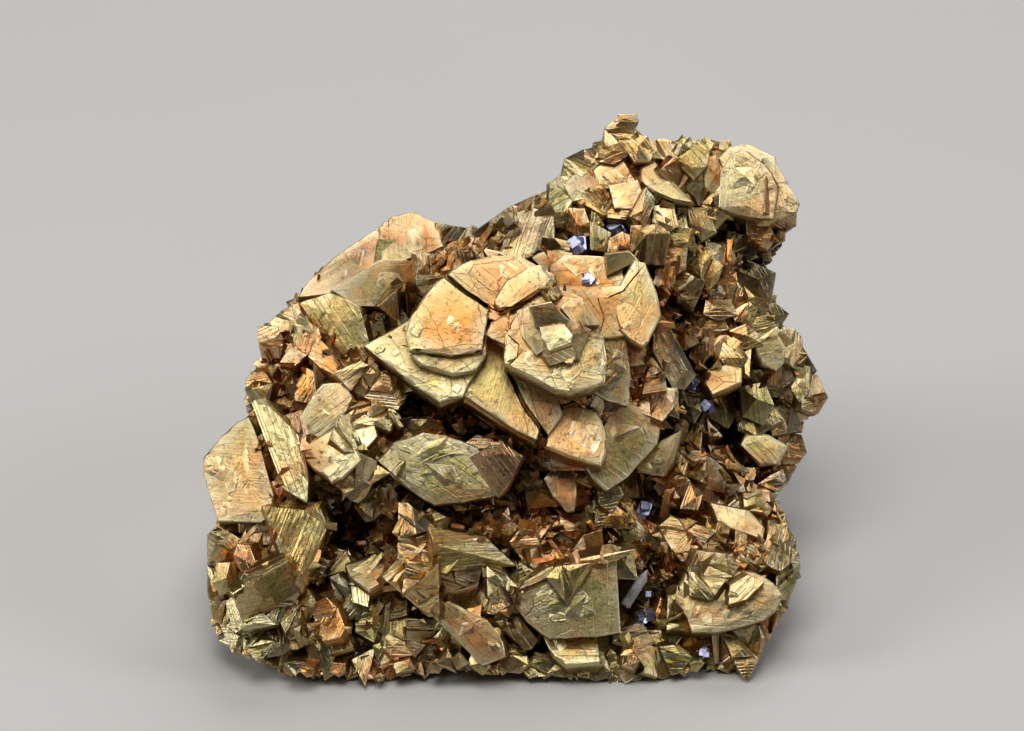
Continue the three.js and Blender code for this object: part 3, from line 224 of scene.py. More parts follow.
# The crystals of the face, by name: level of its face, degrees by which it looks upward and to
# the right, length of its root, width of its bevel, colour, corners as across and up, and for some the raised
# points of the face as across, up and height. A crystal with a bevel is a plate.
CRYSTALS = {
    # left lobe and its rim
    "left_fan": (1, 14, -14, 9, 0.12, "peach", (-38.3, 37.7, -40, 37, -42, 35.2, -44.1, 31.7, -44.3, 30,
     -43.3, 26, -42.5, 23, -36.5, 23.3, -35.2, 24.5, -35, 27, -36.2, 28.5, -37, 34)),
    "ochre_rim": (0, 5, -35, 8, 0, "ochre", (-42.6, 22.4, -44, 20.5, -44.2, 13, -43.4, 9, -40.4, 7.4,
     -38.5, 14, -39.6, 20)),
    "rim_box": (4, 0, 0, 5, 0, "tan", (-43.4, 14.2, -42.5, 16.6, -41, 16.6, -40.4, 15, -40.6, 13.7,
     -42.1, 12.9), (-41.3, 14.9, 1.2)),
    "salmon_leaf": (6, 10, 10, 5, 0, "salmon", (-39.7, 18, -39.5, 19.3, -38.1, 19.1, -36.9, 16.1, -37.6,
     15.5, -38.9, 16.4)),
    "lobe_blade": (7, 35, -20, 6, 0, "olive", (-40.4, 13.2, -37.6, 16.6, -33.9, 19.4, -33, 19.2, -33,
     17.3, -36.6, 15.5, -40, 12.9)),
    "lobe_dark_face": (6, -30, 8, 8, 0, "bronze", (-40, 12.6, -38, 14.9, -33, 17.4, -30.7, 13.2, -32.5,
     11.2, -36, 10.2, -38.7, 8.8), (-37.4, 14, 1.1, -36, 11.8, 1.3)),
    "lobe_pale_chip": (3, 5, -35, 5, 0, "pale", (-41.1, 11, -40.1, 13, -39, 8.4, -40, 7.5, -41, 8.6)),
    "lobe_grey_blade": (5, 12, -15, 6, 0, "grey", (-39, 8, -36.5, 11, -34.4, 11.6, -33.2, 11, -34.3,
     8.6, -38.3, 7.7)),
    "lobe_brown_wedge": (4.5, 8, 12, 6, 0, "bronze", (-34.2, 10.2, -32, 11.2, -30, 9.8, -30.2, 7, -32.2,
     6.5)),
    "orange_tab": (4.5, 18, -12, 6, 0, "orange", (-28.9, 10.8, -27, 11.7, -25.7, 10.2, -24.8, 8, -25.3,
     6.9, -27.5, 6.4, -28.1, 7.7)),
    "foot_bulge": (3, 22, -10, 6, 0, "olive", (-38.7, 6.8, -35.5, 7.6, -34.9, 5.6, -36, 3.4, -37, 3,
     -38.2, 5)),
    "foot_grey_chip": (2.5, 10, 12, 5, 0, "grey", (-35, 6.9, -33, 6.9, -31.8, 5.6, -33.4, 4.4, -35.3,
     3.9)),
    "sphenoid_down": (6, 12, 8, 9, 0, "gold", (-35.8, 24.9, -28.4, 25.3, -27.3, 22, -30.5, 13.2, -33,
     18), (-30.2, 24.6, 2.1, -30.4, 15.5, 0.9)),
    "striped_blade": (5, 18, -8, 9, 0, "pale", (-37.5, 39.6, -35.6, 40.2, -33.5, 38.5, -31.5, 35, -29.9,
     29, -30, 26.2, -33.2, 28.2, -35, 33), (-35.2, 39.4, 0.7, -30.5, 29.5, 0.6)),
    "red_tab_left": (2, 10, 0, 5, 0, "red", (-34.6, 28.2, -33.8, 28.3, -33, 26.9, -33.1, 25.1, -34.3,
     25.1, -34.7, 26.8)),
    "red_tab_right": (2, -10, 0, 5, 0, "red", (-33, 27.6, -30.3, 26.3, -29.9, 25.3, -32.7, 25.2)),
    "cavity_lip": (1, 0, 40, 6, 0, "bronze", (-29.9, 18.5, -28.6, 21, -26.4, 22, -27.4, 20)),
    "grey_wall_chip": (1, 8, 10, 6, 0, "grey", (-26.3, 14.6, -25.2, 15, -23.4, 12.8, -22.4, 10.4, -24.2,
     9, -25.2, 11.5)),
    "green_chip": (1.5, 25, -15, 5, 0, "pale", (-23.5, 15, -22.4, 13, -21.3, 12.8, -21.4, 11.2, -23,
     11.8)),
    # left middle shelves
    "shelf_fan_low": (4, 14, -8, 8, 0.3, "pale", (-30.2, 33.5, -26.3, 35.6, -23.4, 34.4, -22.6, 31.6,
     -25, 29.6, -26.3, 29, -28.2, 30.5, -30.1, 32.2)),
    "shelf_fan_high": (3.6, 22, 6, 8, 0, "pale", (-26, 34.8, -25.3, 37.2, -23.2, 38.3, -20.9, 37.5,
     -20.3, 35.2, -22.3, 33.2, -24.2, 33.4)),
    "shelf_tooth": (3.2, 4, 0, 8, 0, "tan", (-26, 28.8, -24.3, 30.2, -22.3, 32.2, -20.3, 31.2, -20.2,
     29.7, -21.6, 27, -22.5, 26, -23.3, 26.3)),
    "cavity_tooth_left": (-1, -15, 5, 6, 0, "bronze", (-22.8, 25.2, -21.4, 26.6, -19.6, 27.8, -19, 25,
     -20.4, 23.6, -21.4, 23.4)),
    "cavity_tooth_right": (-1.5, -18, 0, 6, 0, "bronze", (-19.3, 27.2, -18, 27.9, -16.8, 25.6, -17.2,
     24.4, -19.2, 24.3)),
    "brown_cheek": (2, 12, -10, 8, 0.1, "tan", (-30.4, 38, -28.6, 40.6, -27.6, 42, -24.8, 42.4, -23.8,
     40.4, -25.4, 37.6, -28, 35.4, -30.2, 35.8)),
    "pink_scales": (2, 25, 0, 6, 0, "pink", (-32.6, 37.8, -30.6, 38.4, -29.6, 36.4, -30.4, 34.4, -31.6,
     35.2)),
    "rim_lump_tan": (-4, 25, -15, 7, 0, "pale", (-36.2, 45, -33.5, 45.4, -31.4, 44.3, -32, 42, -34,
     41.2, -36.4, 42.4)),
    "rim_lump_low": (-2, 15, -20, 7, 0, "olive", (-38.6, 43.6, -36.4, 44.4, -35.2, 42.4, -35.8, 39.6,
     -37.6, 39.2, -38.8, 41.6)),
    "tongue": (0, 15, -5, 6, 0, "orange", (-31.3, 42, -30, 44.4, -29.1, 44, -29, 41.8, -29.6, 40.2,
     -31.2, 40.6)),
    "dark_wedge_left": (0, -15, 10, 6, 0, "dark", (-28.7, 45.2, -27.4, 45, -25.9, 42.6, -28.4, 42.2)),
    "orange_step": (1, 30, 5, 6, 0, "orange", (-29.2, 46.4, -28.2, 48.8, -26.8, 47.2, -25.2, 45, -24.8,
     43.4, -26.2, 44.2, -27.5, 45.2)),
    "salmon_slab": (-1.5, 35, -10, 6, 0, "salmon", (-33.4, 45.9, -32, 47.8, -30, 49.9, -28.6, 50.4,
     -28.3, 48.9, -29.8, 47.2, -31.5, 46)),
    "rim_block_low": (-5, 15, -25, 6, 0, "cream", (-36.8, 50.4, -34.3, 50.4, -33.8, 48.8, -34, 46.6,
     -36.4, 46.2, -36.8, 48)),
    "rim_block_high": (-6, 24, -10, 7, 0, "cream", (-35.3, 51.5, -33.5, 53.1, -31.2, 54.2, -29.5, 52.4,
     -30.4, 50.8, -33.4, 50.4, -34.8, 50.6)),
    "rim_white_chip": (-3, 40, -20, 4, 0, "pale", (-31.9, 50.9, -30.2, 51.9, -29.6, 50.2)),
    "lower_brown_rib": (2, 10, 0, 7, 0, "tan", (-25.6, 44, -22, 45.4, -18.4, 43.4, -16.6, 40.4, -17.2,
     39.2, -20, 40.2, -23.2, 41.8)),
    "rib_foot": (2, 20, 5, 6, 0, "tan", (-24, 40.4, -20, 40, -17.4, 38.6, -18.4, 36.2, -20.6, 37.4,
     -23.6, 38.6)),
    # upper left ridge
    "ridge_low_plate": (-10.5, 44, 0, 8, 0.12, "cream", (-31.2, 55, -29.8, 57.2, -28, 58, -26, 60.8,
     -23.5, 62.2, -21, 64, -19.5, 65.2, -18.6, 62, -19, 59.5, -22, 58, -26, 56)),
    "ridge_high_plate": (-14, 46, 3, 8, 0.12, "cream", (-19.7, 65, -17.5, 66.3, -15, 66.8, -13.5, 66.3,
     -11.5, 65.8, -11, 62.5, -14, 62, -16, 60.2, -19, 59.5)),
    "ridge_end_plate": (-15, 36, 12, 8, 0, "olive", (-11.6, 65.8, -9, 65.3, -6.6, 65, -6, 62.4, -8.4,
     61.4, -11, 62.4)),
    "striated_wedge": (-2.5, 4, -24, 9, 0, "olive", (-31, 54.2, -28.5, 55.2, -26, 55.3, -22.7, 53.2,
     -21.5, 51, -21, 47.5, -21.5, 45.5, -23, 44.5, -25, 45.8, -27.5, 49.5, -29, 51.5), (-26.6, 52.6,
     0.5, -23.6, 48.2, 0.5)),
    "olive_block": (-5, 16, 20, 9, 0.12, "olive", (-25.7, 56, -22.5, 57.8, -19.5, 59.7, -14.5, 60.2,
     -13.9, 56.5, -16, 56.5, -19, 54, -22.5, 54)),
    "grey_steps": (-4, 8, 24, 8, 0, "grey", (-14.2, 60.8, -11, 60.8, -10.8, 58.5, -12.4, 55, -13.9,
     56)),
    "grey_hollow_chip": (-3.4, -24, 12, 7, 0, "dark", (-19.2, 53.7, -16, 56.4, -13.8, 55, -13.6, 52.6,
     -17, 52)),
    "ridge_notch_chip": (-7, 30, 25, 6, 0, "pink", (-10.4, 61.2, -8.6, 62, -6.6, 61, -7.6, 59.4, -9.6,
     58.4)),
    # the stepped rosette in the middle
    "ledge_left": (2.8, 17, -2, 9, 0.24, "gold", (-21.3, 47.9, -17.5, 48.8, -14, 52, -5, 52, -5, 46,
     -7.9, 41.2, -11, 40.4, -13.5, 42.2, -15.5, 44.4)),
    "ledge_right": (3, 16, 4, 9, 0.24, "gold", (-8.2, 41.6, -6, 50, 0, 50, 0.1, 41.4, 1.5, 39.2, 3.2,
     36.4, 2.6, 34.9, 0, 36.4, -2.5, 38.7, -5, 39.9)),
    "plate_left_under": (4.4, 16, 2, 8, 0.2, "gold", (-15.3, 50.4, -14.6, 47, -13.2, 45.7, -9, 44.4, -6,
     44.9, -4.6, 47, -4.8, 52, -9, 54)),
    "plate_left_top": (5.2, 15, 0, 7, 0.25, "orange", (-15.3, 50.2, -14.4, 52.3, -12, 55.9, -10, 57.6,
     -4.2, 53.7, -4.8, 51.5, -5.3, 49, -5.2, 47.7, -9, 47, -14.7, 47.7)),
    "plate_back": (3.2, 15, -6, 8, 0.25, "salmon", (-10, 57.9, -6.5, 59.8, -3, 60.5, 0.6, 60.3, 5, 58,
     6, 54, 0, 51, -4.6, 52.5, -4.2, 53.7)),
    "plate_top_pale": (5.4, 22, 4, 7, 0.24, "pale", (-2.6, 54.7, -1, 57, 1.5, 58.7, 3.2, 59.3, 4.9, 57,
     1.9, 55.4, -0.5, 53.9, -2, 53.7)),
    "plate_top_chip": (5.6, 22, 14, 6, 0, "pale", (3.6, 56.2, 5, 57.1, 6.1, 55.5, 5, 54.5)),
    "rosette_base": (7, 16, 4, 9, 0.3, "peach", (-1, 49.8, -1.1, 45.6, 0.8, 44.7, 4.8, 43.4, 5.7, 42.2,
     7.5, 41.8, 10, 42.3, 12.2, 43.1, 12.3, 46, 11.9, 49, 11.4, 50.6, 9.4, 54.2, 4, 55, 0.4, 52.6)),
    "rosette_left_chip": (5.8, 14, -14, 8, 0.2, "peach", (-4, 49.7, -3, 51.2, -1.2, 52.2, 1, 52, 1, 48,
     -0.8, 48.2)),
    "rosette_brown_rim": (7.4, 16, 10, 7, 0.1, "tan", (6.8, 53.4, 8, 54.4, 10, 53.9, 11.5, 51.3, 8.5,
     51.3)),
    "rosette_inner_wedge": (7.9, 6, -20, 7, 0.1, "tan", (0.4, 52.6, 2.2, 53.6, 3.2, 51, 3.8, 48, 2.8,
     47.2, 1.2, 49.6)),
    "rosette_back_blade": (9.2, -4, 6, 7, 0.1, "olive", (2.3, 53.4, 5, 53.8, 7, 51.7, 6.5, 50.6, 3.2,
     50.9)),
    "rosette_crystal": (8.6, 6, 8, 8, 0, "tan", (3.8, 50.6, 6.6, 51.7, 10.2, 50.1, 9.1, 47.4, 8.5, 46.7,
     5, 45.6, 4.3, 46.9), (4.1, 50.2, 1.2, 6.4, 50.5, 1.3, 7.9, 49.5, 1.4, 7.7, 48.4, 1.3, 5, 47.8, 1.2,
     4.3, 49.2, 1.2)),
    "rosette_peak": (10.5, 20, -6, 3, 0.06, "pale", (3.9, 50.4, 6.5, 50.6, 7.6, 49.5, 7.4, 48.6, 5,
     47.9, 4.1, 49.2), (5.2, 49.8, 0.35, 6.4, 49.2, 0.3)),
    "plate_right_low": (2.9, 6, 6, 8, 0.2, "peach", (11, 52, 14.6, 51, 15.5, 48, 15.9, 44, 15.8, 39.9,
     13.3, 40.6, 11.4, 41.9, 10.6, 46)),
    "plate_right_orange": (2.8, 12, 2, 8, 0.2, "peach", (4.6, 54.6, 6.6, 56.2, 9, 55.3, 12, 55.1, 13.6,
     56, 15.4, 56.2, 17, 55, 16.6, 50, 13, 49.6, 8, 50)),
    "plate_right_pale": (2.7, 17, 6, 8, 0.24, "peach", (14.8, 55.8, 17, 60, 18.4, 59.1, 19.6, 55.8,
     20.3, 52.5, 19, 50.9, 18.7, 48.9, 18, 48.4, 16.6, 49.1, 15.3, 50.3, 14.6, 53)),
    "orange_bed": (-2.8, 24, 0, 8, 0.12, "orange", (4.6, 55.4, 5.2, 59.4, 7.4, 60.7, 12.6, 60.5, 14.6,
     58.8, 15.8, 55.6)),
    "bed_cone": (-1.5, -12, 8, 6, 0.1, "olive", (13.2, 60.9, 16, 61.1, 16.9, 60.2, 13.4, 58.5)),
    "under_plate_pale": (2.4, 17, 4, 8, 0.2, "peach", (5.9, 38.8, 8.8, 38.9, 11.3, 38.2, 12.2, 35.8,
     12.5, 33, 11.8, 31.3, 10, 32, 7.7, 32.8, 4.7, 33.8)),
    "under_shard_left": (2.7, 8, -2, 8, 0.2, "tan", (-0.2, 44.2, 3.4, 43.6, 5.2, 40.7, 6.2, 38.5, 4.4,
     35.6, 2.6, 38.6, 1.2, 40.6)),
    "under_dark_wall": (1.2, -18, 0, 8, 0, "dark", (4.4, 43.4, 11.6, 42.6, 12.2, 39.4, 11.6, 37.9, 6,
     38.4)),
    "under_dark_keel": (-2, -28, 0, 7, 0, "dark", (0, 36.4, 3.2, 35.4, 10.6, 31.9, 9.6, 30.4, 3, 30.6,
     0, 33)),
    # middle band and the leaf
    "leaf_plate": (2.4, 6, -2, 8, 0.2, "olive", (-19.4, 31.6, -17, 34, -13, 35.1, -10, 34.7, -6, 33.2,
     -5.6, 31.8, -4, 30, -2.6, 27, -5, 26.5, -8, 26.1, -11.5, 25.8, -13, 26.6, -17, 29.2)),
    "leaf_point": (2.9, 22, -12, 5, 0, "pale", (-19.2, 31.6, -17.2, 33.7, -16.4, 31.6, -17.2, 29.9)),
    "inverted_tooth": (3.4, 4, -8, 7, 0, "pink", (-6.2, 31.9, -2.3, 34, 0.5, 32, -1.5, 30, -1.5, 28.2,
     -2.6, 26.9, -4.8, 30.3), (-2.2, 32.6, 1.2)),
    "hollow_chip_a": (-1, -10, 0, 5, 0, "tan", (-15.6, 35.8, -14.6, 37.2, -12.6, 37.6, -10.8, 36.2,
     -11.2, 35.4, -14.8, 35)),
    "hollow_chip_b": (-2, -5, 5, 5, 0, "tan", (-9.2, 36.6, -8.2, 37.2, -7, 35.8, -8, 35.2)),
    "hollow_chip_c": (-1.5, 10, 5, 5, 0, "orange", (-6.8, 34.1, -5.4, 34.9, -3.6, 34.4, -3.7, 33.4,
     -6.2, 33.5)),
    "pink_shard": (-4, 8, -6, 7, 0.1, "salmon", (4.4, 28.8, 5.5, 30.3, 7, 30.7, 8.1, 30.3, 8.3, 27, 8.1,
     24.9, 7.2, 24.8, 5.7, 26.6)),
    "shard_right": (-5, 5, 8, 6, 0, "tan", (8.3, 29, 9.2, 30.3, 11.5, 29.3, 12, 28.5, 10.5, 28.1)),
    "teardrop": (-3.4, 4, 0, 6, 0, "pale", (12, 27, 14.5, 27.6, 14.9, 26.6, 13.6, 24.5, 12.3, 25.5)),
    "pink_step_left": (-6, 25, -8, 6, 0, "pink", (0.2, 21.2, 2.8, 23.6, 6.6, 23.4, 6.9, 21.8, 4, 20.8,
     2, 19.6)),
    "pink_step_right": (-6, 15, 12, 6, 0, "pink", (6.6, 23.4, 9.8, 23.8, 9.8, 21.6, 8.3, 20.8, 6.8,
     21.6)),
    "orange_facet_left": (-3, 8, -6, 6, 0, "orange", (-7, 21.3, -5.5, 23, -4, 24.1, -3.6, 21.7, -4.2,
     20.9, -6.5, 20.8)),
    "orange_facet_mid": (-4, 10, 6, 5, 0, "tan", (-3.7, 23.2, -2.6, 24.1, -1.4, 24.6, -1.2, 23.2, -2.4,
     22.4)),
    "orange_facet_right": (-4, 12, 8, 6, 0, "tan", (-2.4, 21.3, -1.5, 22.6, 0.3, 22.1, -0.4, 20.1, -1.6,
     19.8)),
    "orange_cube": (-1, 18, 8, 6, 0, "orange", (-0.5, 19.8, 0.8, 21.4, 2.4, 21.2, 4.2, 17.6, 3.2, 16.4,
     1.4, 17.4)),
    "brown_knob": (-6, 0, 0, 6, 0, "bronze", (1.7, 27.4, 3.8, 28.9, 5.3, 27.4, 6, 25.4, 2, 25), (3.6,
     27, 1)),
    "band_wedge": (-3, 15, 10, 6, 0, "bronze", (7, 17.6, 9.8, 20.4, 12, 21.4, 12.2, 18.6, 10.6, 17.6)),
    "band_chip": (-3.6, 5, 5, 5, 0, "orange", (13.6, 23.6, 14.4, 24.8, 15.4, 24.2, 17, 22.6, 14.8,
     22.2)),
    "fan_right": (-1.2, 8, 12, 9, 0.2, "olive", (12.2, 34, 13.4, 36.4, 14, 39, 15, 40.4, 18.8, 37.7,
     20.2, 36.2, 19.8, 34, 16.8, 31, 15, 28.9, 13, 27.8, 11.6, 29, 10.4, 31)),
    "fan_right_wing": (-3.4, 2, -14, 8, 0.2, "pale", (18, 31.7, 20.5, 33.7, 23.3, 35.6, 21.9, 31.5,
     20.9, 29.8, 17.8, 30.1)),
    # lower middle
    "square_face": (3, 0, -16, 8, 0, "bronze", (-16.6, 25.2, -15.4, 25.2, -12, 22, -11.8, 17, -14, 16.8,
     -16.6, 17.2)),
    "striped_sphenoid": (4, 8, 16, 8, 0, "gold", (-12.1, 21.9, -9, 20.9, -5, 20.5, -0.4, 16.7, -5, 16.5,
     -10.6, 16.1, -11.6, 16.4), (-11.4, 19.6, 1.6)),
    "sphenoid_underside": (2.6, -32, 6, 8, 0, "dark", (-11.9, 16.1, -5, 16.6, -6.3, 12.2, -8, 10.8,
     -11.6, 10)),
    "lower_sphenoid": (4.6, -4, -14, 8, 0, "olive", (-18.7, 15, -16.8, 17, -11.4, 16.8, -11.2, 10,
     -12.7, 9.8)),
    "sloping_plate": (4.4, 2, -14, 8, 0.2, "salmon", (-12.4, 10, -9.2, 11.2, -7, 9.7, -4.4, 8.6, -2.4,
     6, -1.9, 4, -5, 2.9, -8.2, 6.3)),
    "tab_face": (5.4, 8, 6, 6, 0, "pale", (-3.9, 16.2, -2, 15.4, 0.7, 13, -1.3, 11.2, -3.6, 12.6)),
    "tab_side": (4.4, 2, -38, 6, 0, "dark", (-6.4, 10.6, -4.8, 14.4, -3.8, 16, -3.5, 12.7, -1.3, 11.3,
     -3.4, 10.2)),
    "cavity_shelf": (1, 38, -8, 8, 0.3, "olive", (-24.2, 16.6, -21, 17.4, -18.6, 16.4, -18.4, 14.8, -21,
     13.4, -23.4, 15)),
    "dark_prism": (0.6, -4, -12, 7, 0, "bronze", (-19.6, 8, -18.4, 10.6, -17.4, 11.4, -15.9, 11.4,
     -15.8, 6.4, -18.7, 7)),
    "prism_foot": (1, 14, -4, 6, 0, "tan", (-18.8, 6.6, -15.9, 6.6, -15.1, 4.1, -17.8, 3.8, -18.8, 5)),
    "brown_triangle": (1.6, -14, 6, 7, 0, "bronze", (-13.8, 3.1, -10, 5, -10.5, 7.6, -12, 8.4, -15.4,
     8.8, -15, 5.5)),
    "olive_chip_left": (0.8, 10, -6, 6, 0, "olive", (-23, 11, -20.8, 11.6, -20, 8.6, -20.4, 6.2, -22.6,
     7.6)),
    "big_plate": (3.6, 6, 4, 9, 0.2, "olive", (0, 11.5, 1, 13.6, 2, 14.2, 5, 16, 9.8, 16.9, 14, 17.4,
     14.2, 11, 14.5, 7.4, 11, 6.9, 5, 6.7, 2, 8.9)),
    "big_plate_vee": (4.7, 12, -8, 6, 0, "gold", (4.8, 15, 6, 16.2, 10.2, 16.8, 7.3, 11.5)),
    "big_plate_rail": (4.2, 20, 0, 6, 0, "gold", (0.8, 13.4, 5, 15.6, 9, 16.6, 14, 17.3, 16.7, 18.9, 11,
     17.9, 5, 16.4, 1.6, 14.4)),
    "striped_corner": (1.6, 4, 10, 7, 0, "tan", (14.7, 17.9, 16.5, 18.9, 17.1, 15, 14.9, 15.3)),
    "lower_block": (2.6, 34, 0, 7, 0.15, "olive", (4.3, 6.5, 10.9, 6.4, 11.6, 3.2, 7.3, 3.1, 5.7, 4.2)),
    "lower_tab": (2.6, 10, 8, 6, 0, "tan", (-0.5, 8.5, 0.6, 8.9, 2.6, 6.2, 2, 5.1, 1.1, 5.2, -0.3,
     7.3)),
    "foot_slope": (1.4, 15, -4, 6, 0, "tan", (-2, 5.4, 0.6, 4.6, 1.7, 2.6, 0.6, 1.2, -1.2, 1.4, -2.8,
     3.2)),
    "foot_wedge_mid": (1, 20, 0, 5, 0, "olive", (3, 4, 6, 3.2, 8.4, 1.6, 6.8, 0.6, 4, 1.4, 2, 2.6)),
    "foot_wedge_right": (0.8, 16, 6, 5, 0, "olive", (8.6, 3, 12.6, 2.8, 14, 0.8, 11.4, 0.2, 8.8, 0.8)),
    "pit_slab": (0, 12, 8, 6, 0, "bronze", (14.4, 7, 17.2, 8, 18.2, 7.4, 19.5, 5.6, 16.7, 5.1, 14.3,
     5.7)),
    "pit_chip": (1.6, 30, 0, 4, 0, "gold", (16.2, 5.3, 15.3, 4, 17.8, 4)),
    "brown_prism": (-5.4, 2, -16, 8, 0, "bronze", (20.8, 19.4, 22.3, 19.6, 22.8, 16.3, 22.6, 10.9, 21,
     10.4, 20.6, 15)),
    "olive_prism": (-1, 6, 8, 7, 0, "olive", (22, 12.6, 23.8, 13.6, 25.2, 11.2, 25.3, 7.5, 21.8, 7.8)),
    "foot_hexagon": (0.8, 10, 6, 5, 0, "olive", (19.6, 4.6, 22.4, 4.8, 24.8, 3.4, 23.4, 1.4, 20.8, 0.4,
     18.6, 1.6)),
    # lower right lobe
    "round_crystal": (2, 12, 4, 10, 0.2, "tan", (23.8, 13.4, 25, 16.1, 28, 15.6, 34, 15.2, 35.8, 14.2,
     38.2, 12.5, 37.3, 10.4, 35, 9.2, 32, 8.4, 29, 7.6, 25.5, 7.5, 24.8, 10)),
    "peach_facet": (3.4, 20, 4, 5, 0, "peach", (30.7, 11.5, 31, 13.7, 33, 14.9, 35, 14.1, 32.8, 12.3)),
    "round_left_facet": (3.1, 14, -10, 5, 0, "tan", (25, 15.4, 29.6, 14.6, 27.6, 12.2, 25.2, 12.6)),
    "round_top_dark": (1.6, 20, 0, 7, 0, "bronze", (25, 16, 26.2, 18.4, 29.6, 18, 31.4, 16.6, 30.4,
     15.2, 27, 15)),
    "foot_corner": (0, 2, 10, 8, 0, "olive", (30.2, 6, 32.2, 8.5, 34.5, 7.6, 35.4, 6.4, 35.3, 4.4, 34,
     2.6, 33, 0.5, 31.6, 2)),
    "foot_dark_tooth": (-0.4, -20, -10, 7, 0, "dark", (28.2, 6.8, 28.8, 7.4, 31.6, 5, 32.6, 1.4, 30,
     2.8, 28.4, 2.6)),
    "rim_step_a": (-4, 10, 30, 7, 0, "tan", (35, 19.6, 37.4, 20, 40, 18.8, 39.4, 17.2, 37.8, 16.2, 35.4,
     17.2)),
    "rim_step_b": (-5, 5, 40, 7, 0, "olive", (37.4, 16.2, 39.8, 16.4, 40.4, 14.6, 39, 11.4, 37.6,
     12.4)),
    "rim_step_c": (-4, 0, 30, 7, 0, "tan", (34.6, 9.6, 37.8, 11, 38.4, 9.8, 36.4, 6.6, 34.4, 7.2)),
    "rim_step_d": (-6, 15, 35, 7, 0, "tan", (36.4, 22.6, 39, 22, 40.2, 20, 38.4, 19, 36.2, 20)),
    "saddle_crown": (-4, 22, 6, 7, 0.24, "pale", (28.2, 25.3, 30.3, 24.6, 33, 24, 35, 22.2, 34.8, 20.7,
     31, 22.2, 29.4, 23)),
    "saddle_finger": (-3.4, 8, 6, 6, 0, "pale", (31.6, 22.4, 32.8, 22.2, 32.7, 20, 31.9, 18.4, 31.4,
     19)),
    "saddle_yellow": (-3.8, 14, -6, 6, 0, "gold", (28.3, 21, 29.3, 23.3, 30.6, 22.6, 29.9, 20.1)),
    "slab_left": (-3, 14, -8, 8, 0, "tan", (20.9, 22, 22.4, 23.3, 24.3, 21.8, 25.6, 19.5, 26.3, 17,
     23.6, 17.7, 21.9, 20.2)),
    "slab_right": (-3.6, 10, 8, 7, 0, "bronze", (24.6, 21.6, 25.2, 22.4, 28, 21.4, 29.9, 20.1, 29.9,
     18.4, 26, 18.7)),
    "mid_step_right": (-2, 10, 4, 7, 0, "olive", (31.6, 17, 33.2, 19.2, 35.2, 18.8, 35.6, 16.8, 33.4,
     15.6)),
    "lobe_yellow_chip": (-8, 25, 5, 6, 0, "gold", (32.9, 26.6, 34.5, 26.4, 36.4, 24.8, 35.6, 24, 33.2,
     24.7)),
    # right recess and right lobe
    "tan_pillar": (-10, 4, 4, 8, 0.1, "salmon", (27.2, 31.8, 28.8, 30.8, 29.7, 29, 29.4, 27.4, 27.9,
     25.4, 27.3, 23.7, 26.2, 23.7, 26, 28, 27, 29.8)),
    "grey_stripes": (-8, 18, -4, 7, 0, "grey", (22.2, 30.4, 23, 32.8, 26.8, 32.6, 27.2, 30, 26.3, 29)),
    "grey_lump": (-7, 12, 0, 7, 0, "bronze", (20.2, 27.8, 21.5, 29.2, 24, 29, 26.3, 26.8, 25.8, 24.8,
     21.8, 25.2)),
    "recess_blade": (-17, 20, 15, 7, 0, "bronze", (28, 33.4, 29.4, 33.2, 33.4, 30, 32, 29.8, 29, 31.6)),
    "lobe_pale_crystal": (-17, 12, 4, 7, 0.24, "gold", (32.7, 33.7, 33.5, 35, 36, 34.8, 38.7, 33.6,
     37.4, 31.4, 35.2, 31.4)),
    "lobe_dark_foot": (-22, 0, 25, 8, 0, "dark", (38.2, 35.6, 41.2, 35.2, 41.5, 32.5, 40.5, 30.8, 39.1,
     28, 37.6, 31)),
    "lobe_iridescent": (-18, 0, 10, 7, 0, "lilac", (35.2, 28, 36.8, 29, 38.2, 29.8, 39, 28.3, 37.2,
     25.8, 36.2, 25.3)),
    "lobe_brown_low": (-20, 5, 10, 8, 0, "bronze", (36, 38.6, 39.4, 39.2, 41, 37.4, 41, 35.8, 37.2,
     35.4)),
    "lobe_tip": (-20, 10, 20, 8, 0, "gold", (41.2, 43.4, 43.4, 44, 44.5, 40.7, 43.4, 38.6, 41.4, 39.4)),
    "lobe_edge_high": (-21, 10, 35, 8, 0, "dark", (40, 48, 41.4, 47.8, 43.4, 44.4, 42.6, 43.4, 40.4,
     45.4)),
    "lobe_gold_side": (-18.6, 15, 15, 7, 0, "gold", (40, 44.8, 42.4, 45, 42, 41.8, 40.8, 40.4, 40, 42)),
    "lobe_dark_mid": (-18, -10, 5, 7, 0, "dark", (35.4, 44.4, 38.4, 45, 40, 43.8, 39.6, 40.6, 36.4,
     41.2)),
    "lobe_dark_fan": (-17, 0, 0, 7, 0, "olive", (32.6, 41.8, 35.6, 42.4, 36.6, 39.6, 35.4, 37, 33,
     38.2), (34.6, 40.4, 1)),
    "lobe_facets_low": (-18, 5, -5, 7, 0, "bronze", (32, 38.4, 35, 39, 36.6, 36.6, 34.6, 35.2, 32.4,
     36)),
    "lobe_face_tan": (-15.4, 14, 6, 8, 0, "gold", (32.4, 52.4, 35.5, 53.5, 37.5, 50.3, 37.2, 49.2, 34.8,
     48.9, 33.2, 50.4)),
    "lobe_face_yellow": (-14.6, 8, 10, 8, 0.24, "gold", (34.8, 49.4, 37.3, 49.7, 38.3, 47.5, 38.1, 45.9,
     37.2, 44.9, 35.6, 45.7, 34.8, 47.5)),
    "lobe_outer_tan": (-17, 10, 22, 7, 0, "tan", (38, 50, 40, 50.1, 40.9, 48.8, 41, 46.2, 40.3, 45.1,
     38.4, 46.4)),
    "lobe_dark_diamond": (-14, 6, 0, 7, 0, "dark", (30.9, 50, 33, 50.7, 34, 49.9, 35, 48.5, 33, 47.9,
     31.6, 48.7)),
    "lobe_ledge_orange": (-13.6, 12, -4, 7, 0, "peach", (27.5, 50.2, 29.6, 49.8, 31.9, 48.5, 30, 46.4,
     28.4, 46.4, 27.4, 47.8)),
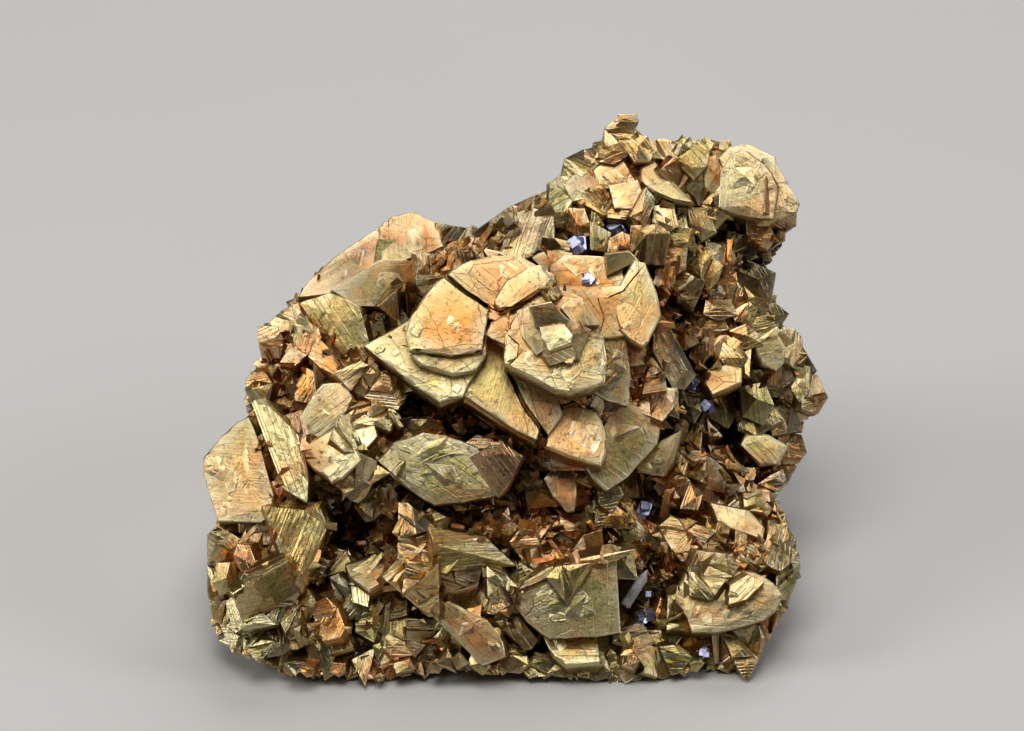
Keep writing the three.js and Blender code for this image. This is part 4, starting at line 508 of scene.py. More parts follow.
    "lobe_ledge_top": (-14, 25, 0, 7, 0, "peach", (26.5, 52.1, 29.2, 52.3, 30.2, 50.6, 28, 49.8, 26.8,
     50.2)),
    "lobe_ledge_pale": (-13, 10, 6, 7, 0, "bronze", (30, 48.2, 31.7, 47.9, 33.1, 46.3, 33, 45.1, 31,
     44.5, 29.7, 46.3)),
    "flake_shelf": (-11, 26, -2, 7, 0.2, "olive", (27.8, 44.4, 30, 44.8, 32.1, 44.6, 31.8, 42.9, 29.8,
     42.2, 28.4, 41.4, 27.6, 42.6)),
    "recess_pyramid": (-10.6, 6, 0, 7, 0, "orange", (22.9, 50.2, 24.3, 51.2, 26.1, 50.3, 25.8, 48.7,
     24.3, 47.9, 23, 48.7), (24.2, 49.9, 1.4)),
    "recess_brown_bar": (-11, 4, -18, 7, 0, "bronze", (26.7, 50.2, 27.7, 50, 27.5, 47, 26.3, 45.6, 25.2,
     46.8, 26, 48.5)),
    "right_dark_crown": (-17, 6, 12, 9, 0, "dark", (30.5, 59.4, 33.5, 60, 36, 59.5, 37, 58.3, 37.1, 56,
     36.4, 54.6, 35, 53.9, 32.8, 55, 31.3, 57), (34.8, 57.6, 1)),
    "salmon_blade": (-14.4, 6, -6, 7, 0, "salmon", (29.7, 58.2, 30.5, 58.2, 33.3, 55, 33, 53.2, 32.3,
     51.9, 31.5, 52, 30.7, 54.5)),
    "crown_chip": (-14.6, 10, 8, 6, 0, "pale", (33.1, 55.1, 34.8, 53.8, 33, 53.1)),
    "crown_edge_dark": (-17.4, 4, 30, 7, 0, "dark", (35.7, 53.6, 37.2, 54.3, 38.9, 52.6, 38.2, 50.9,
     36.8, 50.4)),
    "ledge_blue_chip": (-15, 12, 0, 6, 0, "lilac", (28.2, 57.8, 29, 57.8, 29.8, 55.4, 28.8, 54.6, 27.9,
     55.2)),
    "ledge_plate": (-13.4, 14, 4, 7, 0, "tan", (27.6, 54.4, 30.4, 54.4, 31.4, 52.6, 29, 52.2, 27.4,
     52.8)),
    "dark_blade": (-4.4, 8, 30, 9, 0, "grey", (20, 52.8, 21.4, 51.6, 24.9, 45.3, 25.4, 44.2, 24, 42.2,
     22.4, 42.5, 20.2, 47), (20.6, 51.4, 0.6, 24.6, 44.6, 0.5)),
    "blade_edge": (-4, 4, -12, 7, 0, "grey", (18.8, 50, 20.1, 51.4, 22.9, 42, 23.2, 38, 21.9, 38.6, 19,
     46)),
    "copper_facet": (-3.2, 8, 6, 7, 0, "bronze", (16, 48.6, 18.6, 48.4, 20.8, 43.8, 21.3, 42, 18, 41.6,
     16, 43)),
    "copper_lower": (-3, 16, 0, 7, 0, "bronze", (15.6, 41.5, 19, 42, 22.4, 39.7, 20.6, 37.6, 15.8,
     39.6)),
    "recess_lump": (-13, 6, 0, 7, 0, "bronze", (23.4, 41.2, 24.3, 41, 25.7, 40.2, 26.2, 38.8, 25.5,
     37.4, 23.9, 38.8)),
    # upper right tower
    "olive_rectangle": (-8, -4, 4, 8, 0, "bronze", (16.8, 64.9, 20.5, 65, 21.7, 63.9, 21.6, 61.8, 21.1,
     60, 18.6, 60.1, 16.7, 61.2), (18.8, 64, 1.6)),
    "tan_block_mid": (-8, 14, 0, 7, 0, "orange", (13.5, 61.2, 13.7, 63.2, 15.2, 63.9, 16.5, 63.2, 16.7,
     61.2, 15.3, 60.4)),
    "upper_pale_mass": (-7, 30, -6, 9, 0, "cream", (-2, 61.4, 0, 66.6, 2.5, 67.3, 5, 66.2, 5.1, 63.3,
     3.5, 62, 0.6, 60.4), (1.4, 64.6, 0.8)),
    "mass_strip": (-6.4, 22, 4, 6, 0, "tan", (3, 61.9, 5, 63.3, 7.4, 62.8, 7.2, 61.8)),
    "mass_pink_block": (-5, 18, 0, 7, 0.2, "copper", (2.6, 60.6, 5, 61.6, 7.7, 61.1, 7.1, 58.7, 4.9,
     58.7)),
    "rough_gold": (-12, 30, -8, 8, 0, "olive", (4.8, 70.9, 6.6, 70, 8.9, 68.2, 7.6, 65.4, 6.2, 65.4, 5,
     67.6)),
    "brown_stub": (-9.6, 6, 0, 6, 0, "copper", (7.6, 67.4, 9.6, 67.2, 10.4, 65, 9, 64.2, 7.6, 65)),
    "olive_wedge": (-8, 10, 10, 6, 0, "olive", (10.8, 65.5, 13.2, 64, 12.6, 62, 11, 62.2)),
    "spike_brown": (-10, 4, -8, 6, 0, "bronze", (11, 67.9, 12.3, 65.5, 10.7, 65.1)),
    "orange_strip": (-10.6, 24, 4, 7, 0, "orange", (12.4, 67.2, 14.5, 68.2, 16.9, 66.8, 16.9, 66.2, 13,
     66.6)),
    "slab_pale": (-13, 34, -6, 8, 0.1, "cream", (6.8, 71.3, 9, 72.6, 11, 73.9, 11.4, 72.6, 12.5, 70.7,
     10.5, 69.7, 8.4, 69.1)),
    "slab_under": (-11.6, 10, -4, 7, 0, "salmon", (8.4, 69, 10.5, 69.8, 12.4, 70.6, 12.9, 68.4, 10,
     66.8, 8.8, 67.2)),
    "block_grey_gold": (-12.6, 16, 0, 7, 0.1, "olive", (11.3, 74.1, 15.1, 74.2, 16, 73, 15.3, 71.3,
     13.5, 71, 12.3, 71)),
    "facet_white": (-10.4, 18, 4, 7, 0.1, "pale", (13.8, 70.7, 17.2, 71.4, 17.8, 69.2, 16.5, 68.1, 14.5,
     68.1)),
    "facet_white_low": (-10.2, 8, 0, 6, 0, "tan", (15.4, 68.4, 17, 68, 17.1, 66.6, 15.4, 66.8)),
    "striped_sphenoid_right": (-9.4, 4, 26, 7, 0, "grey", (18.6, 70.3, 19.7, 68.7, 18.6, 66, 17.4, 65.3,
     16.8, 66.8)),
    "block_behind": (-13, 24, 8, 7, 0, "pale", (15.8, 73.4, 18.4, 72.2, 19.3, 70.6, 17.6, 70.4, 15.6,
     71.4)),
    "long_blade": (-11.4, 26, 8, 8, 0.3, "tan", (18.4, 73.4, 20, 74.2, 22.5, 71.2, 25.1, 68.8, 22.5,
     69.3, 20, 70.4, 18.4, 71.6)),
    "brown_slab": (-12.6, 2, 18, 8, 0, "copper", (21, 72.8, 22.8, 74.7, 25.4, 72.3, 26.3, 70, 26, 68.5,
     24.8, 68.6)),
    "slab_cheek": (-12.4, 4, -30, 7, 0, "bronze", (20.7, 73, 22, 75.5, 22.9, 74.7, 21.1, 72.6)),
    "twin_blade": (-12, 14, -6, 8, 0, "gold", (23.2, 74.8, 24.3, 76.6, 26.3, 77.7, 27.4, 76, 27, 74,
     25.5, 72.3), (25, 76.2, 1, 25.6, 73.6, 0.9)),
    "twin_shadow_side": (-12.4, 0, 30, 7, 0, "bronze", (25.5, 72.4, 27, 74.2, 27.3, 70, 26.3, 68.6,
     25.6, 70.4)),
    "neck_facet": (-12.6, 8, 4, 7, 0.24, "copper", (27, 74.9, 28.7, 74.9, 30, 72.4, 30.1, 70.3, 27.4,
     70.5)),
    "neck_lower": (-13, 8, 0, 7, 0, "tan", (27, 68.2, 29.6, 68.4, 30.4, 67, 28.4, 64.8, 26.8, 66)),
    "neck_left": (-12, 12, 0, 7, 0, "tan", (25, 67.6, 27.4, 67.4, 28.4, 64.6, 26.6, 63.6, 25.4, 65.6)),
    "mid_flake": (-11, 16, 0, 7, 0, "tan", (20, 67.8, 22.4, 68, 23, 65.4, 21.6, 64.8, 20, 66)),
    "mid_lump": (-11.4, 10, 4, 7, 0, "olive", (21.8, 64.6, 25, 64.6, 25.4, 62.6, 23.4, 61.9, 21.8,
     62.8)),
    "cream_facet": (-10.6, 14, 4, 7, 0, "peach", (21.4, 61.8, 24.3, 62.1, 24, 59.2, 22.8, 59.2, 20.7,
     60)),
    "orange_facet_tall": (-9.4, 12, 6, 7, 0, "orange", (20.6, 59.9, 22.9, 59.7, 22.4, 56.8, 21.6, 55.8,
     20.1, 57.3)),
    "dark_column": (-13, 0, 0, 8, 0, "dark", (24.1, 61.8, 26, 61.4, 26.6, 57, 25.4, 53.4, 23.4, 54.6,
     23.4, 58.6)),
    "orange_spear": (-12.6, 6, 6, 7, 0, "orange", (25.9, 62.5, 28, 61.4, 29.3, 59.5, 28.8, 58, 27.7,
     56.3, 26.8, 58.2)),
    "spear_pale_side": (-13.4, 12, 14, 7, 0, "pale", (27.4, 62.8, 29.5, 62.5, 29.4, 60, 28.4, 60.8)),
    "red_blade": (-15, 4, -10, 7, 0, "salmon", (30, 61.8, 30.8, 61.6, 31.6, 59.9, 30, 58.2, 29.4,
     59.4)),
    "notch_dark": (-17, -8, 10, 9, 0, "dark", (30.8, 64.2, 33.4, 63.4, 34.3, 61, 32.8, 60.2, 31, 60.8,
     30.4, 62.4)),
    "notch_tan": (-14.4, 0, 8, 9, 0, "tan", (33.4, 65.4, 36.2, 65, 36.9, 63.6, 36, 62.2, 35, 62.6, 33.6,
     64)),
    "cap_underside": (-12.6, -50, 4, 8, 0, "grey", (36, 67, 40.3, 67.3, 39.8, 65.3, 37, 64.4, 35.6,
     65.4)),
    "cap_front": (-10.4, 8, -10, 9, 0.12, "pale", (29.5, 68.2, 29.9, 73, 31.2, 75.2, 33, 75.6, 35.4,
     73.6, 37, 70.8, 36.5, 66.6, 33.5, 67, 31.5, 67.5)),
    "cap_right": (-11.2, 10, 18, 9, 0.12, "pale", (35.6, 75, 37.2, 74.3, 38.6, 72.2, 39.8, 70, 40.7,
     68.4, 40.4, 67.2, 38, 66.8, 36.2, 66.7, 36.4, 71)),
    "cap_top": (-13, 40, 8, 8, 0.1, "pale", (29.6, 75, 30.6, 76.6, 32.5, 77, 33.5, 77.1, 36.7, 75.1,
     37.6, 72.8, 34.6, 71.8, 31, 73.6)),
    "pinnacle_base": (-14, 20, 0, 8, 0, "tan", (12.6, 77.4, 13.2, 79.2, 14.3, 80, 16.2, 79.6, 17.3,
     78.4, 16, 76.8, 13.6, 76.4)),
    "pinnacle_tip": (-14, 10, 6, 5, 0, "pale", (14.2, 79.6, 15, 81, 17, 81, 17.2, 80.2, 16.1, 79.2)),
    "pale_block_top": (-12.6, 22, 4, 8, 0, "gold", (15.2, 77.3, 17.5, 78.4, 18.9, 78.1, 19.3, 76, 19,
     74.9, 17.2, 74.9, 16, 75.8), (17.6, 76.8, 0.8)),
    "gold_chips": (-12.8, 24, -4, 7, 0, "orange", (12, 76.2, 14.8, 77, 15.8, 75.6, 14, 74.5, 12, 74.7)),
    "crest_lump_left": (-15, 35, -20, 8, 0, "pale", (6.4, 72.4, 7.4, 74.8, 9.6, 76.2, 11.8, 76.8, 12,
     74.6, 9.6, 73, 7.6, 71.6)),
    "crest_ridge": (-13.6, 26, 6, 8, 0, "tan", (19, 77.6, 21.2, 77.8, 23.6, 77.2, 24.2, 75.4, 21.8,
     75.2, 19.4, 75.4)),
    "crest_back_left": (-17, 40, -10, 8, 0, "peach", (-6, 64.4, -1, 68, 3, 69.9, 5, 70.6, 5.4, 68.4, 0,
     66, -5, 62.6)),
    "shoulder_chip": (-14, 16, 12, 7, 0, "tan", (28.2, 75.6, 29.8, 76, 30.6, 74.2, 29.4, 73, 28.4, 74)),
}

# The specimen's outline square to the face, clockwise from its left foot: across, up.
OUTLINE = [
    (-33.5, 1.2), (-36.5, 2.9), (-41.5, 5), (-43.4, 8), (-44.3, 14), (-43.5, 20), (-42.8, 23), (-44, 29),
    (-43.2, 33.5), (-40, 37), (-38.3, 38.5), (-39.4, 42), (-37, 45.5), (-36.5, 49.8), (-33.5, 52.8),
    (-29.8, 57.2), (-26, 60.8), (-21, 64), (-16, 66.5), (-10, 65.5), (-5, 65), (0, 68.8), (4.6, 70.2),
    (7.8, 74.8), (12, 77.4), (15.4, 80.2), (19, 78), (26.3, 77.7), (33.3, 77), (37.6, 73.6), (40.6, 68),
    (38.6, 63.6), (35.8, 59.5), (37.4, 55), (39, 50.5), (42, 46.8), (44.3, 41), (41.6, 36.6), (40.4, 31),
    (37.4, 26.2), (39.8, 20.3), (40.8, 15), (38, 9.5), (34.5, 3.5), (31, 1.4), (26, 1.8), (20, 0.2),
    (14, 0), (7, 0.6), (0, 1), (-8, 1.8), (-14, 1.2), (-20, 0.2), (-27, 0.8),
]
OUTLINE_CENTRE = (0, 36)

# Hollows between the crystals: across, up, radius, how much deeper than the faces round it.
HOLLOWS = [
    (-23, 22, 4.2, 9), (-14.5, 38, 3.6, 5), (-6, 36.5, 3, 3), (31, 34.5, 5.5, 6), (24.5, 54, 3.4, 4),
    (33.5, 62, 3.6, 7), (17, 11.5, 2.2, 4), (29, 13.6, 2, 3), (-20, 9.5, 2.4, 3), (2, 32.5, 5, 4),
    (-27, 39, 3, 2), (20, 26.5, 3, 3), (-35, 24, 2, 3),
]

# The galena crystals: node, place, size, and how many small crystals make up the cluster.
GALENA = [
    ("galena_star", (9.2, 62.4, -9.8), 3.4, 9),
    ("galena_lilac", (14.4, 64.9, -12.9), 3, 4),
    ("galena_upper", (10.5, 57.3, -2.3), 2.5, 7),
    ("galena_chain_left", (25.4, 42.3, -12.2), 2.2, 5),
    ("galena_chain_right", (27.3, 39.3, -15.6), 2.2, 5),
    ("galena_middle", (18.6, 24.5, -9.3), 3, 8),
    ("galena_lower", (18.7, 9.1, -4), 2.6, 7),
    ("galena_lower_bright", (19, 12.4, -4.4), 1.3, 3),
    ("galena_foot", (26.8, 4.1, -0.8), 1.7, 4),
]

# The quartz prism: its foot and its tip.
QUARTZ_FOOT = (15.6, 10.8, -3.5)
QUARTZ_TIP = (18.9, 16, -4.6)
QUARTZ_WIDTH = 1.6
QUARTZ_SIDES = 6
QUARTZ_POINT = 0.9  # the point's height as a share of the width
QUARTZ_FOOT_EDGE = 0.12
QUARTZ_LINE_GAPS = (0.25, 0.3)
QUARTZ_LINE_WIDTH = 0.04
QUARTZ_LINE_SHARE = 0.985

# Places that smaller crystals keep clear of, and how wide they are.
KEPT_CLEAR = [(row[1], row[2]) for row in GALENA]
KEPT_CLEAR += [((17.2, 13.4, -4), 2.5), ((16, 11.5, -3.7), 2)]

OUT = (0, 0, 1)
LEAN_SIN = math.sin(math.radians(FACE_LEAN))
LEAN_COS = math.cos(math.radians(FACE_LEAN))


def uneven(draw, least, more, power=1):
    """A random number: the least, and up to so much more. A higher power makes large ones rarer."""
    return least + more * draw.random() ** power


def place(points):
    """Places on the face, as rows of across, up and out, in the specimen's own frame, in millimetres."""
    across, up, out = np.asarray(points, float).reshape(-1, 3).T
    y = up * LEAN_SIN - out * LEAN_COS - FOOT_TO_ORIGIN
    return np.column_stack([across, y, up * LEAN_COS + out * LEAN_SIN])


def face_direction(directions):
    """Directions on the face, as rows of across, up and out, in the specimen's own frame."""
    return place(directions) - place([(0, 0, 0)])


def face_place(points):
    """The other way round: places in the specimen's own frame as across, up and out."""
    x, y, z = np.asarray(points, float).reshape(-1, 3).T
    back = y + FOOT_TO_ORIGIN
    return np.column_stack([x, back * LEAN_SIN + z * LEAN_COS, z * LEAN_SIN - back * LEAN_COS])


OUTLINE_CORNERS = np.array(OUTLINE, float)


def inside(polygon, across, up):
    """Which of the places lie inside a polygon."""
    hit = np.zeros(np.shape(across), bool)
    for (a, u), (next_a, next_u) in zip(polygon, np.roll(polygon, -1, axis=0)):
        if u != next_u:
            crosses = (u > up) != (next_u > up)
            hit ^= crosses & (across < a + (next_a - a) * (up - u) / (next_u - u))
    return hit


def nearest_line(starts, ends, across, up, slack):
    """How far the places lie from the nearest of the straight lines from starts to ends."""
    nearest = np.full(np.shape(across), np.inf)
    for (a, u), (next_a, next_u) in zip(starts, ends):
        run, rise = next_a - a, next_u - u
        share = ((across - a) * run + (up - u) * rise) / (run * run + rise * rise + slack)
        share = np.clip(share, 0, 1)
        gap = np.hypot(across - a - share * run, up - u - share * rise)
        nearest = np.minimum(nearest, gap)
    return nearest


def edge_distance(polygon, across, up):
    """How far the places lie from a polygon's edges."""
    return nearest_line(polygon, np.roll(polygon, -1, axis=0), across, up, SHORTEST)


def line_distance(line, across, up):
    """How far the places lie from an open line."""
    return nearest_line(line[:-1], line[1:], across, up, 0)


CRACK_LINES = [(width, deep, np.array(line, float).reshape(-1, 2)) for width, deep, line in CRACKS]


def near_line(line, corners):
    """Whether a line passes a polygon closely."""
    low, high = corners.min(axis=0) - CRACK_ROOM, corners.max(axis=0) + CRACK_ROOM
    return bool((line.max(axis=0) > low).all() and (line.min(axis=0) < high).all())


class Crystal:
    """One crystal of the face, with the values of a row of CRYSTALS."""

    def __init__(self, out, up, side, deep, rim, tint, corners, tips=()):
        self.out, self.deep, self.rim, self.tint = out, deep, rim, tint
        self.tips = np.array(tips, float).reshape(-1, 3)
        self.corners = np.array(corners, float).reshape(-1, 2)
        self.middle = self.corners.mean(axis=0)
        self.slope = np.array([math.tan(math.radians(side)), math.tan(math.radians(up))])
        self.leans = [math.degrees(math.atan(slope)) for slope in self.slope]
        following = np.roll(self.corners, -1, axis=0)
        self.area = abs(np.sum(self.corners[:, 0] * following[:, 1]
                               - following[:, 0] * self.corners[:, 1])) / 2
        self.reach = np.hypot(*(self.corners - self.middle).T).max()

    def level(self, across, up):
        """How far out its leaning face lies above a place on the specimen's face."""
        return self.out - (up - self.middle[1]) * self.slope[1] - (across - self.middle[0]) * self.slope[0]

    def widen(self):
        """Moves the corners that lie well inside the specimen's outline apart, so that crystals overlap."""
        for index, corner in enumerate(self.corners):
            away = (corner - self.middle) / np.hypot(*(corner - self.middle))
            moved = corner + away * WIDENING
            if self.reach > WIDENED_FROM and edge_distance(OUTLINE_CORNERS, *moved) > WIDENING_ROOM:
                self.corners[index] = moved


def cut_polygon(corners, start, direction):
    """The two parts of a polygon on either side of a line."""
    side = (corners - start) @ np.array([-direction[1], direction[0]])
    parts = ([], [])
    for index, corner in enumerate(corners):
        following = (index + 1) % len(corners)
        parts[int(side[index] > 0)].append(corner)
        if side[index] * side[following] < 0:
            share = side[index] / (side[index] - side[following])
            crossing = corner + (corners[following] - corner) * share
            parts[0].append(crossing)
            parts[1].append(crossing)
    return parts


def nearest_crystals(across, up):
    """The numbers of the listed crystals, the nearest to a place first."""
    return np.argsort(np.hypot(FACE_POINTS[:, 0] - across, FACE_POINTS[:, 1] - up))


def divided(draw, crystal, smallest):
    """A crystal as the parts that it has grown in, each leaning a little differently."""
    if crystal.area < smallest or crystal.rim > 0 or len(crystal.tips):
        return [crystal]
    away = crystal.corners[np.argmax(np.hypot(*(crystal.corners - crystal.middle).T))] - crystal.middle
    angle = math.atan2(away[1], away[0]) + math.pi / 2 + draw.gauss(0, PART_TURN)
    start = crystal.middle + away * draw.gauss(0, PART_SHIFT)
    found = []
    for corners in cut_polygon(crystal.corners, start, (math.cos(angle), math.sin(angle))):
        if len(corners) < 3:
            return [crystal]
        side, up = [lean + draw.gauss(0, PART_LEAN) for lean in crystal.leans]
        part = Crystal(0, up, side, crystal.deep, 0, crystal.tint, np.ravel(corners))
        part.out = crystal.level(*part.middle) + draw.gauss(0, PART_STEP)
        found += divided(draw, part, smallest)
    return found


CRYSTAL_LIST = [Crystal(*row) for row in CRYSTALS.values()]
for listed in CRYSTAL_LIST:
    listed.widen()
FACE_POINTS = np.array([(*crystal.middle, crystal.out) for crystal in CRYSTAL_LIST])


def core_front(across, up):
    """How far out the front of the core under the crystals lies."""
    across, up = np.asarray(across, float), np.asarray(up, float)
    apart = (across[..., None] - FACE_POINTS[:, 0]) ** 2 + (up[..., None] - FACE_POINTS[:, 1]) ** 2
    weight = 1 / (1 + apart) ** 2
    front = (weight * FACE_POINTS[:, 2]).sum(axis=-1) / weight.sum(axis=-1)
    front = front - CORE_DEPTH_BEHIND * np.minimum(1, (up + 1) / FOOT_HEIGHT)
    for a, u, radius, depth in HOLLOWS:
        front = front - depth * np.exp(-((across - a) ** 2 + (up - u) ** 2) / radius ** 2)
    return front


def core_points(turn, passed):
    """Places on the core, in the specimen's own frame. Turn goes round the outline, 0 to 1. Passed goes from
    the middle of the front, 0, over the outline, 1, and along the sides to the middle of the back, 2."""
    turn, passed = np.asarray(turn, float) % 1, np.asarray(passed, float)
    step = turn * len(OUTLINE)
    first = np.floor(step).astype(int)
    blend = (step - first)[..., None]
    here, following = OUTLINE_CORNERS[first % len(OUTLINE)], OUTLINE_CORNERS[(first + 1) % len(OUTLINE)]
    rim_place = here * (1 - blend) + following * blend
    a, u = OUTLINE_CENTRE
    ray_a, ray_u = rim_place[..., 0] - a, rim_place[..., 1] - u
    reach = np.hypot(ray_a, ray_u)
    inset = CORE_INSET * np.minimum(1, (FOOT_INSET + u + ray_u) / FOOT_HEIGHT)
    rim = (reach - inset) / reach
    side = np.maximum(0, passed - 1)
    spread = np.where(passed < 1, passed, np.cos(side ** SIDE_FULLNESS * math.pi / 2))
    across, up = a + ray_a * rim * spread, u + ray_u * rim * spread
    near = np.minimum(passed, 1)
    front = core_front(a + ray_a * rim * near, u + ray_u * rim * near)
    sunk = EDGE_ROUNDING * np.maximum(0, near - EDGE_START) ** 2
    back = -(BACK_WALL - up * LEAN_SIN) / LEAN_COS
    out = front - sunk + (back - front + sunk) * np.sin(side * math.pi / 2)
    return place(np.stack([across, up, out], axis=-1))


class Heap:
    """Polygons gathered for one mesh, in millimetres, with the colour and stripe direction of each."""

    def __init__(self):
        self.points, self.polygons = [], []
        self.tints, self.grains, self.marks, self.calms = [], [], [], []
        self.count = 0

    def add(self, points, polygons, tint, grain, edge, calm=0.0):
        """Points are rows of x, y and z; tint is a colour and edge the strength of a painted edge highlight,
        for all of them or one a point;
        grain is one direction, or one a polygon; calm is how little the growth lines show."""
        self.points.append(points)
        self.polygons.extend([[index + self.count for index in polygon] for polygon in polygons])
        self.count += len(points)
        self.tints.append(np.broadcast_to(tint, (len(points), 3)))
        self.grains.append(np.broadcast_to(grain, (len(polygons), 3)))
        self.marks.append(np.broadcast_to(edge, (len(points),)))
        self.calms.append(np.full(len(points), calm))

    def mesh(self, name):
        """One object of everything gathered, standing on the floor."""
        points = np.concatenate(self.points)
        points[:, 2] = np.maximum(points[:, 2], 0)
        made = bpy.data.meshes.new(name)
        made.from_pydata(points * MM, [], self.polygons)
        made.update()
        colours = np.column_stack([np.concatenate(self.tints), np.concatenate(self.marks)])
        for label, kind, domain, field, values in (
            ("tint", "FLOAT_COLOR", "POINT", "color", colours),
            ("grain", "FLOAT_VECTOR", "FACE", "vector", np.concatenate(self.grains)),
            ("calm", "FLOAT", "POINT", "value", np.concatenate(self.calms)),
        ):
            made.attributes.new(label, kind, domain).data.foreach_set(field, values.ravel())
        piece = bpy.data.objects.new(name, made)
        bpy.context.scene.collection.objects.link(piece)
        return piece


def hull(points):
    """A convex shape round the points, with flat faces as single polygons."""
    shape = bmesh.new()
    for point in points:
        shape.verts.new(point)
    result = bmesh.ops.convex_hull(shape, input=shape.verts[:])
    loose = {part for part in result["geom_interior"] + result["geom_unused"]
             if isinstance(part, bmesh.types.BMVert)}
    bmesh.ops.delete(shape, geom=list(loose), context="VERTS")
    bmesh.ops.dissolve_limit(shape, angle_limit=0.02, verts=shape.verts[:], edges=shape.edges[:])
    return shape


def slice_shape(shape, direction, offsets, marked=False):
    """Cuts lines round the shape where planes square to the direction pass, or only over its marked faces."""
    direction = Vector(direction).normalized()
    for offset in offsets:
        faces = [face for face in shape.faces if face.material_index or not marked]
        edges = {edge for face in faces for edge in face.edges}
        verts = {vert for face in faces for vert in face.verts}
        bmesh.ops.bisect_plane(shape, geom=[*verts, *edges, *faces], dist=CUT_SLACK,
                               plane_co=direction * offset, plane_no=direction)


def arrays(shape):
    """A shape's points, polygons and the polygons' directions. The shape is freed."""
    shape.verts.index_update()
    points = np.array([vert.co[:] for vert in shape.verts])
    polygons = [[vert.index for vert in face.verts] for face in shape.faces]
    shape.normal_update()
    normals = np.array([face.normal[:] for face in shape.faces])
    shape.free()
    return points, polygons, normals


def facet_grain(normals, outward, stripes):
    """The direction across each facet's growth lines: the crystal's own, down the facet, or askew."""
    slope = outward - normals * (normals @ outward)[:, None]
    length = np.linalg.norm(slope, axis=1)[:, None]
    slope = slope / np.maximum(length, 1e-6)
    turned = np.cross(normals, slope)
    own = stripes - normals * (normals @ stripes)[:, None]
    kind = np.floor(np.abs(normals @ GRAIN_MIX)).astype(int)[:, None] % 3
    middling = np.where(kind == 0, slope, np.where(kind == 1, own, (slope + turned) * 0.7))
    return np.where(length < FLAT_FACET, stripes, np.where(length > STEEP_FACET, slope, middling))


def steps(draw, start, end, spacing):
    """Random distances from start to end in pairs, one on each side of a narrow step."""
    places, at = [], start + spacing * draw.random()
    while at < end:
        places += [at, at + STEP_WIDTH]
        at += spacing * uneven(draw, *STEP_GAPS) + STEP_WIDTH
    return places


def saw(draw, places, height):
    """The heights of a sawtooth at those places: it climbs slowly and drops at each step."""
    heights = []
    for _ in range(0, len(places), 2):
        tall = height * uneven(draw, *STEP_HEIGHTS)
        heights += [tall, -tall]
    return heights


def wall_relief(draw, points, offset, outward, size, layers, ragged_edge):
    """How far the ragged layers of a crystal's walls lead its points out or in."""
    swell = [(LAYER_SWELL if index % 2 else -LAYER_SWELL) * uneven(draw, *LAYER_SWELLS)
             for index in range(len(layers))]
    bulge = np.interp(-(offset @ outward), [layers[0] - SWELL_START, *layers], [0, *swell])
    bulge = bulge * min(MOST_SWOLLEN, max(LEAST_SWOLLEN, size / SWOLLEN_SIZE))
    away = offset - np.outer(offset @ outward, outward)
    away = away - away.mean(axis=0)
    length = np.maximum(np.linalg.norm(away, axis=1), LEAST_REACH)
    ragged = np.array([noise.noise(Vector((*point[:2], point[2] * RAGGED_TALL)) * RAGGED_GRAIN)
                       for point in points])
    fade = size * 0.2 + 0.1
    ragged = ragged * np.clip((length - size * RAGGED_FROM) / fade, 0, 1) * ragged_edge
    return away / length[:, None] * (bulge + ragged)[:, None]


def striated(shape, draw, origin, outward, stripes, size, rows, height, layers, ragged_edge=RAGGED_EDGE):
    """Gives a crystal its growth lines. Origin is a point of its face, outward is square to the face and
    stripes the direction in the face across its lines. Rows is the spacing of steps across a flat face, or 0,
    height is theirs, and layers lists the depths under the origin at which lines go round the crystal."""
    outward, stripes = np.array(outward, float), np.array(stripes, float)
    for face in shape.faces:
        face.normal_update()
        face.material_index = int(face.normal.dot(Vector(outward)) > STEPPED_FACE)
    span = (np.array([vert.co[:] for vert in shape.verts]) - origin) @ stripes
    places = steps(draw, span.min(), span.max(), rows) if rows else []
    slice_shape(shape, stripes, [origin @ stripes + row for row in places], marked=True)
    slice_shape(shape, outward, [origin @ outward - layer for layer in layers])
    points, polygons, normals = arrays(shape)
    offset = points - origin
    if places:
        top = np.clip(1 - (-(offset @ outward) - STEP_DEPTH) / STEP_FADE, 0, 1)
        lift = np.interp(offset @ stripes, places, saw(draw, places, height))
        points = points + (lift * top)[:, None] * outward
    if layers:
        points = points + wall_relief(draw, points, offset, outward, size, layers, ragged_edge)
    return points, polygons, facet_grain(normals, outward, stripes)


def layer_depths(draw, first, deepest, spacing, gaps):
    """The depths at which the layers of a crystal's walls end."""
    depths, deep = [], first
    while deep < deepest:
        depths.append(deep)
        deep += spacing * uneven(draw, *gaps)
    return depths


def longest_edge(corners):
    """The direction of a polygon's longest edge, as across and up."""
    edges = np.roll(corners, -1, axis=0) - corners
    best = edges[np.argmax(np.hypot(*edges.T))]
    return best / np.hypot(*best)


def straightened(corners, most):
    """A polygon without its least corners, so that few long straight edges are left."""
    corners = list(corners)
    while len(corners) > most:
        sizes = []
        for index, (a, u) in enumerate(corners):
            before, after = corners[index - 1], corners[(index + 1) % len(corners)]
            sizes.append(abs((before[0] - a) * (after[1] - u) - (before[1] - u) * (after[0] - a)))
        corners.pop(int(np.argmin(sizes)))
    return np.array(corners)


def mixed(tint, draw, amount):
    """A colour that differs a little from one crystal to the next."""
    shade = 1 + amount * (draw.random() - 0.5) * 2
    return [min(1, part * shade * (1 + amount * HUE_VARIETY * (draw.random() - 0.5))) for part in tint]


